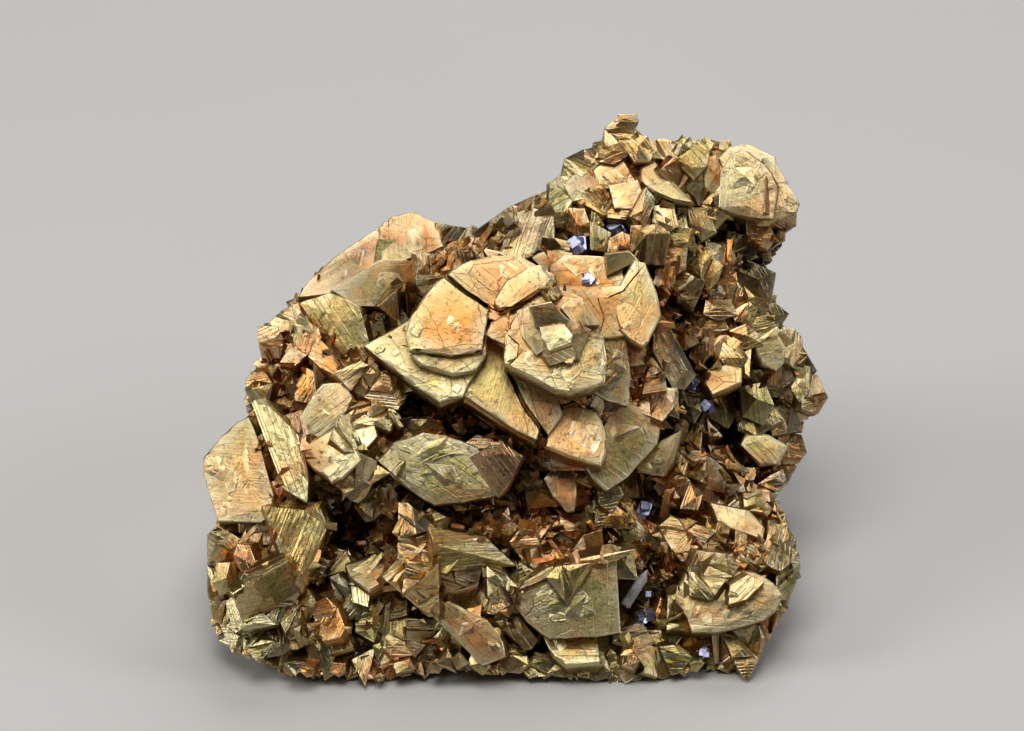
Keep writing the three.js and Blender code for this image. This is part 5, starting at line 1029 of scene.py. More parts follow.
def summits(draw, crystal, corners):
    """The raised points of a crystal's face, as across, up and out: its own, or a random peak or crest, or on
    a plate a low dome with a few facets."""
    if len(crystal.tips):
        return [(across, up, crystal.level(across, up) + height) for across, up, height in crystal.tips]
    inner = float(edge_distance(corners, *crystal.middle))
    if crystal.rim > 0:
        found = []
        for _ in range(2 + int(crystal.area / DOME_FACET)):
            corner = corners[draw.randrange(len(corners))]
            across, up = crystal.middle + (corner - crystal.middle) * draw.random() * INWARD
            far = float(edge_distance(corners, across, up)) / max(inner, 0.1)
            lift = min(DOME_HEIGHT, far * inner * DOME_SLOPE)
            found.append((across, up, crystal.level(across, up) + lift))
        return found
    if draw.random() < FLAT_SHARE:
        return []
    height = inner * uneven(draw, *PEAK_HEIGHTS)
    first, second = draw.sample(range(len(corners)), 2)
    found = []
    for corner, share in ((first, uneven(draw, *PEAK_PLACES)), (second, CREST_END * draw.random())):
        across, up = crystal.middle + (corners[corner] - crystal.middle) * share
        found.append((across, up, crystal.level(across, up) + height * (1 - share * PEAK_SLOPE)))
    return found[:1] if draw.random() < ONE_PEAK_SHARE else found


def rim_drop(crystal):
    """How far the outer edge of a crystal's bevel lies under its face."""
    return crystal.rim * RIM_DROP if crystal.rim > 0 else SHARP_DROP


def crystal_points(crystal, corners, thick):
    """The corners of a crystal: its face inside a narrow or wide bevel, its rim, the foot of its walls, which
    stand square on the face, and its root, which swings to the middle of the specimen."""
    middle = corners.mean(axis=0)
    swing = (np.array(OUTLINE_CENTRE) - middle) * ROOT_SWING
    root_out = crystal.out - crystal.deep * ROOT_LENGTH
    bevel = max(crystal.rim, SHARP_BEVEL)
    points = []
    for corner in corners:
        away = corner - middle
        top = middle + away * max(LEAST_TOP, 1 - bevel / np.hypot(*away))
        rim = crystal.level(*corner) - rim_drop(crystal)
        root = middle + away * ROOT_NARROWING + swing
        points += [(*top, crystal.level(*top)), (*corner, rim), (*root, root_out)]
        foot = corner - crystal.slope * thick - away * FOOT_NARROWING
        if inside(OUTLINE_CORNERS, *foot) and rim - thick > root_out:
            points.append((*foot, rim - thick))
    return points


def plate_colours(crystal, placed, corners, tint):
    """The colours of a plate, with a pale painted highlight along its edges."""
    inner = float(edge_distance(corners, *crystal.middle))
    share = np.clip(edge_distance(corners, placed[:, 0], placed[:, 1]) / (inner * PLATE_RIM_HIGHLIGHT_REACH), 0, 1)[:, None]
    return np.array(PLATE_RIM_HIGHLIGHT) * (1 - share) + np.array(tint) * share


def cut_cracks(shape, cracks):
    """Cuts lines along the brinks and the floor of each crack."""
    for width, _, line in cracks:
        for start, end in zip(line[:-1], line[1:]):
            across = np.array([start[1] - end[1], end[0] - start[0], 0]) / np.hypot(*(end - start))
            middle = across[:2] @ start
            slice_shape(shape, across, [middle + width * side for side in CRACK_LEVELS])


def open_cracks(placed, cracks):
    """Sinks the points that lie in a crack."""
    for width, deep, line in cracks:
        aside = line_distance(line, placed[:, 0], placed[:, 1])
        placed[:, 2] -= deep * np.clip((width * CRACK_BRINK - aside) / (width * CRACK_WALL), 0, 1)


def crystal_axes(crystal, corners):
    """The middle of a crystal's face, the direction square to it, and that across its growth lines."""
    outward = np.array([*crystal.slope, 1])
    outward /= np.linalg.norm(outward)
    turned = longest_edge(corners)
    line = np.array([*turned, -(crystal.slope @ turned)])
    stripes = np.cross(outward, line / np.linalg.norm(line))
    middle = corners.mean(axis=0)
    return np.array([*middle, crystal.level(*middle)]), outward, stripes


def face_colours(crystal, placed, corners, depth, tint):
    """The colours of a crystal's points, with painted shade: darker down its walls, and darkest deep between
    its neighbours, where they also turn redder.
    """
    flat = crystal.rim > 0
    plain = np.ones((len(placed), 1)) * np.array(tint)
    colours = plate_colours(crystal, placed, corners, tint) if flat else plain
    # Painted shade down the walls.
    wall = np.clip((depth - WALL_START - rim_drop(crystal)) / WALL_FADE, 0, 1)
    colours = colours * (1 - wall[:, None] * np.array(WALL_PAINTED_SHADE))
    # Painted shade deep between the neighbours, a little redder.
    sunk = np.clip((RELIEF.around(placed) - placed[:, 2] - SHADED_FROM) / UNDER_FACE, 0, 1)
    return colours * (1 - sunk[:, None] * np.array(CREVICE_SHADE_AND_OXIDE))


def by_size(size, least, more, most):
    """An amount that grows with a crystal's size, up to the most."""
    return min(most, least + size * more)


def add_crystal(heap, draw, crystal):
    """One crystal of the face, with its growth lines."""
    flat = crystal.rim > 0
    corners = crystal.corners if flat else straightened(crystal.corners, MOST_CORNERS)
    size = math.sqrt(crystal.area)
    thick = min(THICKEST * (PLATE_THICKER if flat else 1), size * THICK_SHARE)
    points = crystal_points(crystal, corners, thick)
    shape = hull(points + summits(draw, crystal, corners))
    cracks = [crack for crack in CRACK_LINES if near_line(crack[2], corners)]
    cut_cracks(shape, cracks)
    origin, outward, stripes = crystal_axes(crystal, corners)
    layers = layer_depths(draw, FIRST_LAYER, min(DEEPEST_LAYER, size * 0.5), LAYER_SPACING, LAYER_GAPS)
    rows = PLATE_ROWS if flat else by_size(size, *ROW_SPACING)
    height = PLATE_STEP if flat else by_size(size, *ROW_STEP)
    placed, polygons, grain = striated(shape, draw, origin, outward, stripes, size, rows, height, layers,
                                       RAGGED_EDGE * (2 if flat else 1))
    open_cracks(placed, cracks)
    depth = -(placed - origin) @ outward
    inward = edge_distance(corners, placed[:, 0], placed[:, 1])
    # The strength of the painted highlight along the face's edges.
    edge = np.clip(1 - inward / EDGE_HIGHLIGHT_WIDTH, 0, 1) * np.clip(1 - (depth - EDGE_HIGHLIGHT_DEPTH) / EDGE_HIGHLIGHT_FADE, 0, 1)
    tint = mixed(TINTS[crystal.tint], draw, FACE_VARIETY)
    colours = face_colours(crystal, placed, corners, depth, tint)
    heap.add(place(placed), polygons, colours, face_direction(grain), edge,
             min(1, crystal.rim * RIM_CALMS))


def loose_ring(draw, middle, reach, stretch, count, turn, angle, gaps):
    """The corners of an irregular polygon round a place, as across and up by turns."""
    corners = []
    for _ in range(count):
        angle += math.tau / count * uneven(draw, *gaps)
        x, y = math.cos(angle) * reach * stretch, math.sin(angle) * reach
        corners += [middle[0] + x * math.cos(turn) - y * math.sin(turn),
                    middle[1] + x * math.sin(turn) + y * math.cos(turn)]
    return corners


def flakes(draw, crystal):
    """Thin layers with ragged outlines that lie on a large crystal."""
    found = []
    if len(crystal.tips):
        return found
    for _ in range(int(crystal.area / FLAKE_ROOM)):
        corner = crystal.corners[draw.randrange(len(crystal.corners))]
        middle = crystal.middle + (corner - crystal.middle) * draw.random() * INWARD
        reach = uneven(draw, *FLAKE_REACH)
        count, turn, angle = draw.choice([4, 5, 6]), draw.random() * math.pi, draw.random() * math.tau
        corners = loose_ring(draw, middle, reach, FLAKE_STRETCH, count, turn, angle, FLAKE_GAPS)
        shape = np.reshape(corners, (-1, 2))
        if not inside(crystal.corners, shape[:, 0], shape[:, 1]).all():
            continue
        if any(near_line(crack[2], shape) for crack in CRACK_LINES):
            continue
        side, up = [lean + draw.gauss(0, FLAKE_LEAN) for lean in crystal.leans]
        flake = Crystal(0, up, side, 0.5, 0.06, crystal.tint, corners)
        flake.out = crystal.level(*flake.middle) + FLAKE_THICKNESS[0] + FLAKE_THICKNESS[1] * draw.random()
        found.append(flake)
    return found


# The level of the crystals' faces, on a grid over the face.
GRID_STEP = 0.25
GRID_LOW = (-46.0, -1.0)
GRID_SHAPE = (368, 336)
COLUMNS_AT_ONCE = 46
BARE = -99.0


class Relief:
    """For each place of the face the level of the outermost crystal, its number, and how far its edge is."""

    def __init__(self):
        across = GRID_LOW[0] + GRID_STEP * np.arange(GRID_SHAPE[0])
        up = GRID_LOW[1] + GRID_STEP * np.arange(GRID_SHAPE[1])
        self.across, self.up = np.meshgrid(across, up, indexing="ij")
        self.level = np.full(GRID_SHAPE, BARE)
        for start in range(0, GRID_SHAPE[0], COLUMNS_AT_ONCE):
            part = slice(start, start + COLUMNS_AT_ONCE)
            self.level[part] = core_front(self.across[part], self.up[part])
        self.owner = np.full(GRID_SHAPE, -1)
        self.margin = np.zeros(GRID_SHAPE)
        self.within = inside(OUTLINE_CORNERS, self.across, self.up)
        self.widest = None

    def cells(self, corners):
        """The part of the grid round a polygon."""
        low = ((corners.min(axis=0) - GRID_LOW) / GRID_STEP).astype(int) - 1
        high = ((corners.max(axis=0) - GRID_LOW) / GRID_STEP).astype(int) + 2
        return slice(max(low[0], 0), high[0]), slice(max(low[1], 0), high[1])

    def cover(self, crystal, index):
        """Takes one more crystal in."""
        part = self.cells(crystal.corners)
        across, up = self.across[part], self.up[part]
        there = inside(crystal.corners, across, up)
        own = crystal.level(across, up)
        higher = there & ((own > self.level[part]) | (self.owner[part] < 0))
        self.level[part] = np.where(higher, own, self.level[part])
        self.owner[part] = np.where(higher, index, self.owner[part])
        self.margin[part] = np.where(higher, edge_distance(crystal.corners, across, up), self.margin[part])

    def overlap(self, crystal):
        """How far a crystal would stand out of the ones that are already there."""
        part = self.cells(crystal.corners)
        across, up = self.across[part], self.up[part]
        there = inside(crystal.corners, across, up) & (self.owner[part] >= 0)
        return float((crystal.level(across, up) - self.level[part])[there].max()) if there.any() else -9.0

    def spread(self, radius):
        """Notes the highest level near each place."""
        self.widest = self.level.copy()
        for shift in range(1, int(radius / GRID_STEP) + 1):
            for axis in (0, 1):
                for way in (-shift, shift):
                    self.widest = np.maximum(self.widest, np.roll(self.level, way, axis=axis))

    def cell(self, across, up):
        """The grid's cell of a place."""
        return int((across - GRID_LOW[0]) / GRID_STEP), int((up - GRID_LOW[1]) / GRID_STEP)

    def around(self, places):
        """The highest level near each of the places."""
        column = ((np.clip(places[:, 0], -45, 45) - GRID_LOW[0]) / GRID_STEP).astype(int)
        row = ((np.clip(places[:, 1], 0, 82) - GRID_LOW[1]) / GRID_STEP).astype(int)
        return self.widest[column, row]


def fillers(draw, relief):
    """Crystals for the places that the listed ones leave bare, a little under these and tilted."""
    added = []
    bare = [tuple(found) for found in np.argwhere(relief.within & (relief.owner < 0))]
    draw.shuffle(bare)
    for column, row in bare:
        if relief.owner[column, row] >= 0:
            continue
        across, up = relief.across[column, row], relief.up[column, row]
        room = float(edge_distance(OUTLINE_CORNERS, across, up))
        reach = min(uneven(draw, *FILLER_REACH), room * ROOM_USED + FILLER_OVERHANG)
        if reach < LEAST_FILLER:
            continue
        angle, count = draw.random() * math.tau, draw.choice([3, 3, 4, 4, 5])
        stretch, turn = uneven(draw, *FILLER_STRETCH), draw.random() * math.pi
        corners = loose_ring(draw, (across, up), reach, stretch, count, turn, angle, FILLER_GAPS)
        like = CRYSTAL_LIST[int(draw.choice(nearest_crystals(across, up)[:3]))]
        up_lean = like.leans[1] * LIKE_NEIGHBOUR + draw.gauss(FILLER_LEANS_UP, FILLER_LEAN)
        side_lean = like.leans[0] * LIKE_NEIGHBOUR + draw.gauss(0, FILLER_LEAN)
        level = float(core_front(across, up)) + FILLER_OVER_CORE * uneven(draw, *FILLER_LIFTS)
        tint = like.tint if draw.random() < NEIGHBOUR_TINT_SHARE else draw.choice(FILLER_TINTS)
        filler = Crystal(level, up_lean, side_lean, 4, 0, tint, corners)
        filler.out -= min(FILLER_MOST_SUNK, max(0, relief.overlap(filler) + FILLER_SUNK))
        for kept_at, size in KEPT_CLEAR:
            if math.dist(kept_at[:2], (across, up)) < reach + size / 2:
                filler.out = min(filler.out, kept_at[2] - size * 0.3 - reach * 0.4)
        relief.cover(filler, len(CRYSTAL_LIST) + len(added))
        added.append(filler)
    return added


RELIEF = Relief()
for number, listed in enumerate(CRYSTAL_LIST):
    RELIEF.cover(listed, number)
FILLERS = fillers(random.Random(5), RELIEF)
RELIEF.spread(4)


def sphenoid_points(draw):
    """The points of a small three-sided crystal at the origin, about 1 across and looking along +Z."""
    points = []
    for side in range(3):
        angle = side * math.tau / 3 + (draw.random() - 0.5) * 0.8
        reach = uneven(draw, 0.8, 0.6)
        points.append((math.cos(angle) * reach, math.sin(angle) * reach, 0.2 * draw.random() - 0.3))
        points.append((math.cos(angle) * reach * 0.7, math.sin(angle) * reach * 0.7, -1.2))
    tall = uneven(draw, 0.25, 0.4)
    points.append((0.35 * draw.random(), 0, tall))
    points.append((-0.45 * draw.random(), 0.2 * draw.random(), tall * 0.95))
    return points


def blade_points(draw):
    """The points of a long narrow one."""
    long, wide = uneven(draw, 1.2, 0.6), uneven(draw, 0.3, 0.3)
    lean = (draw.random() - 0.5) * 0.8
    points = []
    for x in (-1, 1):
        rise = lean * x * long * 0.5
        points.append((x * long * 0.75, 0.1 * x, uneven(draw, 0.45, 0.3) + rise))
        points.append((x * long, -wide, 0.1 + rise))
        points.append((x * long * 0.9, wide, rise))
        points.append((x * long * 0.7, wide * 0.3, -1))
    return points


def tablet_points(draw):
    """The points of a thin one with a leaning top."""
    corners = draw.choice([3, 3, 4, 5])
    thick, lean = uneven(draw, 0.15, 0.2), uneven(draw, 0.35, 0.5)
    points = []
    for side in range(corners):
        angle = (side + 0.6 * (draw.random() - 0.5)) * math.tau / corners
        reach = uneven(draw, 0.8, 0.7)
        x, y = math.cos(angle) * reach, math.sin(angle) * reach * 0.8
        points += [(x, y, thick + lean * x), (x * 0.92, y * 0.92, lean * x - thick), (x * 0.5, y * 0.5, -1)]
    return points


def small_crystal(points, stripes):
    """A small crystal round the points: its points, polygons and the directions across its growth lines."""
    placed, polygons, normals = arrays(hull(points))
    return placed, polygons, facet_grain(normals, np.array([0, 0, 1.0]), np.array(stripes, float))


# The small crystals' kinds: the function for the points, the direction across the lines, and how many shapes.
SMALL_KINDS = [
    (sphenoid_points, (1, 0, 0), 10),
    (blade_points, (0, 1, 0), 6),
    (tablet_points, (1, 0, 0), 8),
]


def frame_of(outward, spin):
    """Three directions: two across, turned by spin, and outward."""
    outward = np.array(outward, float)
    outward /= np.linalg.norm(outward)
    helper = np.array([0, 0, 1.0]) if abs(outward[2]) < 0.8 else np.array([1.0, 0, 0])
    right = np.cross(helper, outward)
    right /= np.linalg.norm(right)
    ahead = np.cross(outward, right)
    return np.array([right * math.cos(spin) + ahead * math.sin(spin),
                     ahead * math.cos(spin) - right * math.sin(spin), outward])


def random_direction(draw):
    """A random vector."""
    return np.array([draw.gauss(0, 1) for _ in range(3)])


def tilted(draw, outward, amount):
    """A direction that leans away from another by a random amount."""
    turned = np.array(outward) + random_direction(draw) * amount
    return turned / np.linalg.norm(turned)


def near_tint(draw, across, up):
    """The colour of one of the crystals round a place."""
    return CRYSTAL_LIST[int(draw.choice(nearest_crystals(across, up)[:4]))].tint


def sown(heap, draw, shapes, centre, outward, size, tint, squash=1.0):
    """Sets one small crystal down."""
    points, polygons, grain = shapes[draw.randrange(len(shapes))]
    axes = frame_of(outward, draw.random() * math.tau)
    stretch = np.array([size, size * uneven(draw, 0.7, 0.5), size * squash])
    heap.add((points * stretch) @ axes + centre, polygons, tint, grain @ axes, 0.0)


# The small crystals in the face's crevices, on its borders and on the sides: how many there are, their sizes,
# how much they lean, how flat they lie, and how much their colours vary.
SOWN_ACROSS = (-45, 90)
SOWN_UP = 81
CREVICE_COUNT = 600
CREVICE_SIZE = (0.3, 0.75, 2)
CREVICE_LARGER = 0.3  # in the deepest places
CREVICE_DEEPEST = 8
CREVICE_DEPTH = (2.2, 3)
CREVICE_LEAN = 0.4
CREVICE_SQUASH = 0.7
CREVICE_VARIETY = 0.16
CREVICE_LIFT = 0.2
# Deep in the crevices some small crystals take red and copper tints, partly for oxide and partly as painted
# reflections of the brass round them.
RED_DEPTH = 3
RED_SHARE = 0.45
RED_TINTS = ["copper", "red", "orange", "bronze"]
BRIGHT_SHARE = 0.12
BRIGHT_TINTS = ["orange", "gold", "pale", "peach"]
PLATE_BORDER = 0.5
BORDER_COUNT = 520
BORDER_WIDTH = 0.7
BORDER_SIZE = (0.5, 1.1, 1.5)
BORDER_LEAN = 0.3
BORDER_SQUASH = 0.6
BORDER_SUNK = 0.1
SIDE_MIDDLING = 420
MIDDLING_SIZE = (1.8, 2.2, 1.5)
MIDDLING_LEAN = 0.3
SIDE_SMALL = 3000
SIDE_SIZE = (0.6, 1.4, 1.6)
SIDE_LIFT = 1.2
SIDE_LEAN = 0.4
SIDE_SQUASH = 0.9
VARIETY = 0.14


def in_outline(points):
    """Whether all the places, in the specimen's own frame, lie inside its outline, looking at the face."""
    across, up, _ = face_place(points).T
    return inside(OUTLINE_CORNERS, across, up).all()


def crevice_shade_and_oxide(tint, sunk):
    """A colour as it looks that deep between the crystals: darker with painted shade, and redder."""
    share = min(1, max(0, (sunk - SMALL_SHADED_FROM) / UNDER_FACE))
    return [part * (1 - share * weight) for part, weight in zip(tint, CREVICE_SHADE_AND_OXIDE)]


def on_plate(column, row):
    """Whether a cell of the relief belongs to a plate."""
    owner = RELIEF.owner[column, row]
    return 0 <= owner < len(CRYSTAL_LIST) and CRYSTAL_LIST[owner].rim > 0


def crowded(across, up, size):
    """Whether a small crystal would stand over the outline or in a place that is kept clear."""
    if edge_distance(OUTLINE_CORNERS, across, up) < size:
        return True
    return any(math.dist(kept_at[:2], (across, up)) < size + clear * 0.5 for kept_at, clear in KEPT_CLEAR)


def face_small_crystals(heap, draw, shapes):
    """Small crystals in the crevices of the face and at the feet of the walls."""
    placed = 0
    while placed < CREVICE_COUNT:
        across, up = uneven(draw, *SOWN_ACROSS), SOWN_UP * draw.random()
        column, row = RELIEF.cell(across, up)
        level = RELIEF.level[column, row]
        sunk = RELIEF.widest[column, row] - level
        size = uneven(draw, *CREVICE_SIZE) + CREVICE_LARGER * min(1, max(0, sunk / CREVICE_DEEPEST))
        if not RELIEF.within[column, row] or sunk < uneven(draw, *CREVICE_DEPTH):
            continue
        if on_plate(column, row) and RELIEF.margin[column, row] > PLATE_BORDER or crowded(across, up, size):
            continue
        tint = near_tint(draw, across, up)
        if sunk > RED_DEPTH and draw.random() < RED_SHARE:
            tint = draw.choice(RED_TINTS)
        elif draw.random() < BRIGHT_SHARE:
            tint = draw.choice(BRIGHT_TINTS)
        outward = face_direction([tilted(draw, OUT, CREVICE_LEAN)])[0]
        centre = place([(across, up, level + size * CREVICE_LIFT * draw.random())])[0]
        # Painted shade, deeper in the crevices.
        colour = crevice_shade_and_oxide(mixed(TINTS[tint], draw, CREVICE_VARIETY), sunk)
        sown(heap, draw, shapes, centre, outward, size, colour, CREVICE_SQUASH)
        placed += 1


def border_crystals(heap, draw, shapes):
    """Small crystals grown over the borders between the larger ones, apart from the plates."""
    placed = 0
    while placed < BORDER_COUNT:
        across, up = uneven(draw, *SOWN_ACROSS), SOWN_UP * draw.random()
        column, row = RELIEF.cell(across, up)
        size = uneven(draw, *BORDER_SIZE)
        covered = RELIEF.within[column, row] and RELIEF.owner[column, row] >= 0
        if not covered or RELIEF.margin[column, row] > BORDER_WIDTH or on_plate(column, row):
            continue
        if crowded(across, up, size):
            continue
        level = RELIEF.level[column, row]
        outward = face_direction([tilted(draw, OUT, BORDER_LEAN)])[0]
        centre = place([(across, up, level - size * BORDER_SUNK)])[0]
        tint = mixed(TINTS[near_tint(draw, across, up)], draw, VARIETY)
        # Painted shade, deeper in the crevices.
        colour = crevice_shade_and_oxide(tint, RELIEF.widest[column, row] - level)
        sown(heap, draw, shapes, centre, outward, size, colour, BORDER_SQUASH)
        placed += 1


TRIED_AT_ONCE = 6000
SIDE_PASSES = (0.93, 1.03)
NEXT_TURN = 0.004
NEXT_PASS = 0.01
FACES_DOWN = -0.6


def directions_at(turn, passed):
    """Places on the core, the way round the outline from each, and the direction square out of it."""
    here = core_points(turn, passed)
    along = core_points(turn + NEXT_TURN, passed) - here
    over = core_points(turn, np.minimum(passed + NEXT_PASS, 2)) - here
    return here, along, np.cross(over, along)


def side_places(draw, count):
    """Random places over the core's sides and back, evenly spread, with the direction square out of each."""
    found = []
    while len(found) < count:
        turn = np.array([draw.random() for _ in range(TRIED_AT_ONCE)])
        passed = np.array([uneven(draw, *SIDE_PASSES) for _ in range(TRIED_AT_ONCE)])
        here, _, square = directions_at(turn, passed)
        size = np.linalg.norm(square, axis=1)
        keep = np.array([draw.random() for _ in range(TRIED_AT_ONCE)]) < size / np.quantile(size, 0.97)
        outward = square / (size[:, None] + 1e-12)
        keep &= (here[:, 2] > 0.5) & ~((outward[:, 2] < FACES_DOWN) & (here[:, 2] < 10))
        found += list(zip(here[keep], outward[keep]))
    return found[:count]


# The tints of the sides' and back's zones, each down to a level of the noise that divides them.
SIDE_ZONES = [
    (0.22, ["orange", "salmon", "peach", "tan", "copper"]),
    (0, ["tan", "gold", "ochre", "bronze", "pale"]),
    (-0.25, ["olive", "gold", "tan", "pale", "bronze"]),
    (-2, ["olive", "bronze", "grey", "tan", "dark"]),
]
ZONE_GRAIN = 0.075


def side_tint(draw, centre):
    """The colour of a crystal of the sides or back: zones of brass, bronze and orange tarnish."""
    level = noise.noise(Vector(centre) * ZONE_GRAIN)
    names = next(names for least, names in SIDE_ZONES if level > least)
    return mixed(TINTS[draw.choice(names)], draw, VARIETY)


class Seeded:
    """The random numbers that the solids' grown crystals are made from, so that these stand where they do."""

    def __init__(self, seed):
        self.state = seed

    def random(self):
        """The next number from 0 to 1."""
        self.state = (self.state + SEED_STEP) & WORD
        value = ((self.state ^ (self.state >> 15)) * (1 | self.state)) & WORD
        value = ((value + (value ^ (value >> 7)) * (61 | value)) & WORD) ^ value
        return (value ^ (value >> 14)) / (WORD + 1)


def sphenoid(draw, centre, outward, size):
    """The corners of a sphenoid grown along a direction, with a short crest and a narrower root, and how high
    its crest is."""
    right, ahead, outward = frame_of(outward, 0)
    spin = draw.random() * math.tau
    lean = draw.random() - 0.5

    def corner(angle, radius, height):
        """A place so far from its axis and so high along it, which leans."""
        x = math.cos(angle + spin) * radius + height * lean
        return centre + right * x + ahead * math.sin(angle + spin) * radius + outward * height

    points = []
    for side in range(3):
        angle = side * math.tau / 3 + (draw.random() - 0.5) * 0.6
        reach = size * uneven(draw, 0.8, 0.4)
        points.append(corner(angle, reach, size * (draw.random() * 0.4 - 0.05)))
        points.append(corner(angle, reach * 0.5, -size))
    peak = size * uneven(draw, 0.4, 0.45)
    points.append(corner(0, size * 0.5 * draw.random(), peak))
    points.append(corner(2.4, size * 0.5 * draw.random(), peak * uneven(draw, 0.7, 0.3)))
    return np.array(points), peak


def add_grown(heap, draw, points, centre, outward, size, peak):
    """One sphenoid with its growth lines."""
    axes = frame_of(outward, 0)
    shape = hull((points - centre) @ axes.T)
    angle = draw.random() * math.tau
    stripes = (math.cos(angle), math.sin(angle), 0)
    layers = layer_depths(draw, GROWN_FIRST_LAYER, min(size, GROWN_DEEPEST_LAYER), 1, GROWN_LAYER_GAPS)
    origin = np.array([0, 0, peak])
    placed, polygons, grain = striated(shape, draw, origin, (0, 0, 1), stripes, size, 0, 0, layers)
    heap.add(placed @ axes + centre, polygons, side_tint(draw, centre), grain @ axes, 0.0)


def large_grown(heap, draw):
    """The large crystals over the sides and the back, where the solids have theirs."""
    for index in range(GROWN_PLACES):
        own = Seeded(index)
        turn = index * GROWN_SPREAD[0] % 1
        passed = GROWN_PASSES[0] + (index * GROWN_SPREAD[1] % 1) * (GROWN_PASSES[1] - GROWN_PASSES[0])
        (here,), (along,), (outward,) = directions_at(np.array([turn]), np.array([passed]))
        outward /= np.linalg.norm(outward)
        largest = uneven(own, *GROWN_SIZE)
        thinned = own.random() > np.linalg.norm(along) / EVEN_STEP
        sizes = [largest * share for share in GROWN_SIZES_TRIED]
        tried = [(*sphenoid(own, here, outward, size), size) for size in sizes]
        fitting = [shape for shape in tried if in_outline(shape[0])]
        underneath = outward[2] < FACES_DOWN and here[2] < 14
        if fitting and here[2] > 0.4 and not underneath and not thinned:
            points, peak, size = fitting[0]
            add_grown(heap, draw, points, here, outward, size, peak)


def side_crystals(heap, draw, shapes):
    """The crystals over the sides and the back, from large to small."""
    large_grown(heap, draw)
    middling = 0
    for centre, outward in side_places(draw, SIDE_MIDDLING * 2):
        size = uneven(draw, *MIDDLING_SIZE)
        leaning = tilted(draw, outward, MIDDLING_LEAN)
        points, peak = sphenoid(draw, centre, leaning, size)
        if in_outline(points):
            add_grown(heap, draw, points, centre, leaning, size, peak)
            middling += 1
        if middling == SIDE_MIDDLING:
            break
    for centre, outward in side_places(draw, SIDE_SMALL):
        size = uneven(draw, *SIDE_SIZE)
        lifted = centre + outward * draw.random() * SIDE_LIFT
        leaning = tilted(draw, outward, SIDE_LEAN)
        sown(heap, draw, shapes, lifted, leaning, size, side_tint(draw, centre), SIDE_SQUASH)


CORE_TURNS = 220
CORE_ROWS = 96
CORE_HEART = (0, 2, 30)
CORE_GRAIN = 0.35
CORE_ROUGHNESS = 0.8
CORE_SHRUNK = 0.7


def core_skin():
    """The core as one closed skin, rough all over."""
    turn = np.arange(CORE_TURNS) / CORE_TURNS
    passes = 2 * (np.arange(1, CORE_ROWS) / CORE_ROWS)
    grid_turn, grid_pass = np.meshgrid(turn, passes)
    points = core_points(grid_turn.ravel(), grid_pass.ravel())
    points = np.concatenate([points, core_points([0], [0]), core_points([0], [2])])
    rough = np.array([noise.fractal(Vector(point) * CORE_GRAIN, 0.9, 2.1, 4) for point in points])
    away = points - np.array(CORE_HEART)
    away /= np.linalg.norm(away, axis=1)[:, None]
    points = points + away * (rough * CORE_ROUGHNESS - CORE_SHRUNK)[:, None]
    columns = [(column, (column + 1) % CORE_TURNS) for column in range(CORE_TURNS)]
    bottom = (CORE_ROWS - 2) * CORE_TURNS
    polygons = []
    for here in range(0, bottom, CORE_TURNS):
        below = here + CORE_TURNS
        polygons += [[here + left, here + right, below + right, below + left] for left, right in columns]
    for left, right in columns:
        polygons += [[len(points) - 2, right, left], [bottom + left, bottom + right, len(points) - 1]]
    heap = Heap()
    heap.add(points, polygons, TINTS["copper"], (0.6, 0.2, 0.77), 0.0)
    return heap.mesh("chalcopyrite_core")


# Galena's clusters: where a large cube looks, as across, up and out, its share of the cluster's size, that of
# the smaller ones and how far away they lie, how far a cube's corners are cut, and two cleavage steps, as an
# axis and shares of a cube's half width.
GALENA_FACING = (-0.2, 0.3, 1)
LARGE_CUBE = 0.62
SMALL_CUBES = (0.28, 0.22)
CUBE_AWAY = 0.36
CORNER_CUTS = (0.12, 0.2)
CLEAVAGE = [((1, 0, 0), (-0.3, -0.26)), ((0, 1, 0), (0.2, 0.24))]
CLEAVAGE_STEP = 0.03
GALENA_TINT = (0.6, 0.62, 0.66)


def cut_cube(draw, half):
    """A cube with its corners cut off and its cleavage steps: its points and polygons."""
    cut = uneven(draw, *CORNER_CUTS)
    corners = []
    for x, y, z in itertools.product((-1, 1), repeat=3):
        corners += [(x * (1 - cut), y, z), (x, y * (1 - cut), z), (x, y, z * (1 - cut))]
    shape = hull(np.array(corners) * half)
    for direction, shares in CLEAVAGE:
        slice_shape(shape, direction, [half * share for share in shares])
    placed, polygons, _ = arrays(shape)
    brink, foot = CLEAVAGE[0][1]
    step = np.interp(placed[:, 0], [half * brink, half * foot], [CLEAVAGE_STEP, -CLEAVAGE_STEP])
    placed[:, 2] += step * np.sign(placed[:, 2])
    return placed, polygons


def galena_cluster(node, at, size, count, draw):
    """A cluster of cubes cut at their corners."""
    heap = Heap()
    centre = place([at])[0]
    for index in range(count):
        share = LARGE_CUBE if index == 0 else uneven(draw, *SMALL_CUBES)
        away = random_direction(draw)
        away *= 0 if index == 0 else size * CUBE_AWAY / np.linalg.norm(away)
        if index == 0:
            spin = frame_of(face_direction([GALENA_FACING])[0], draw.random() * math.tau)
        else:
            spin = np.array(Euler([draw.random() * math.tau for _ in range(3)]).to_matrix())
        placed, polygons = cut_cube(draw, size * share / 2)
        heap.add(placed @ spin + centre + away, polygons, GALENA_TINT, (1, 0, 0), 0.0)
    piece = heap.mesh(node + "_cluster")
    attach(piece, "root")
    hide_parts(node)
    return piece


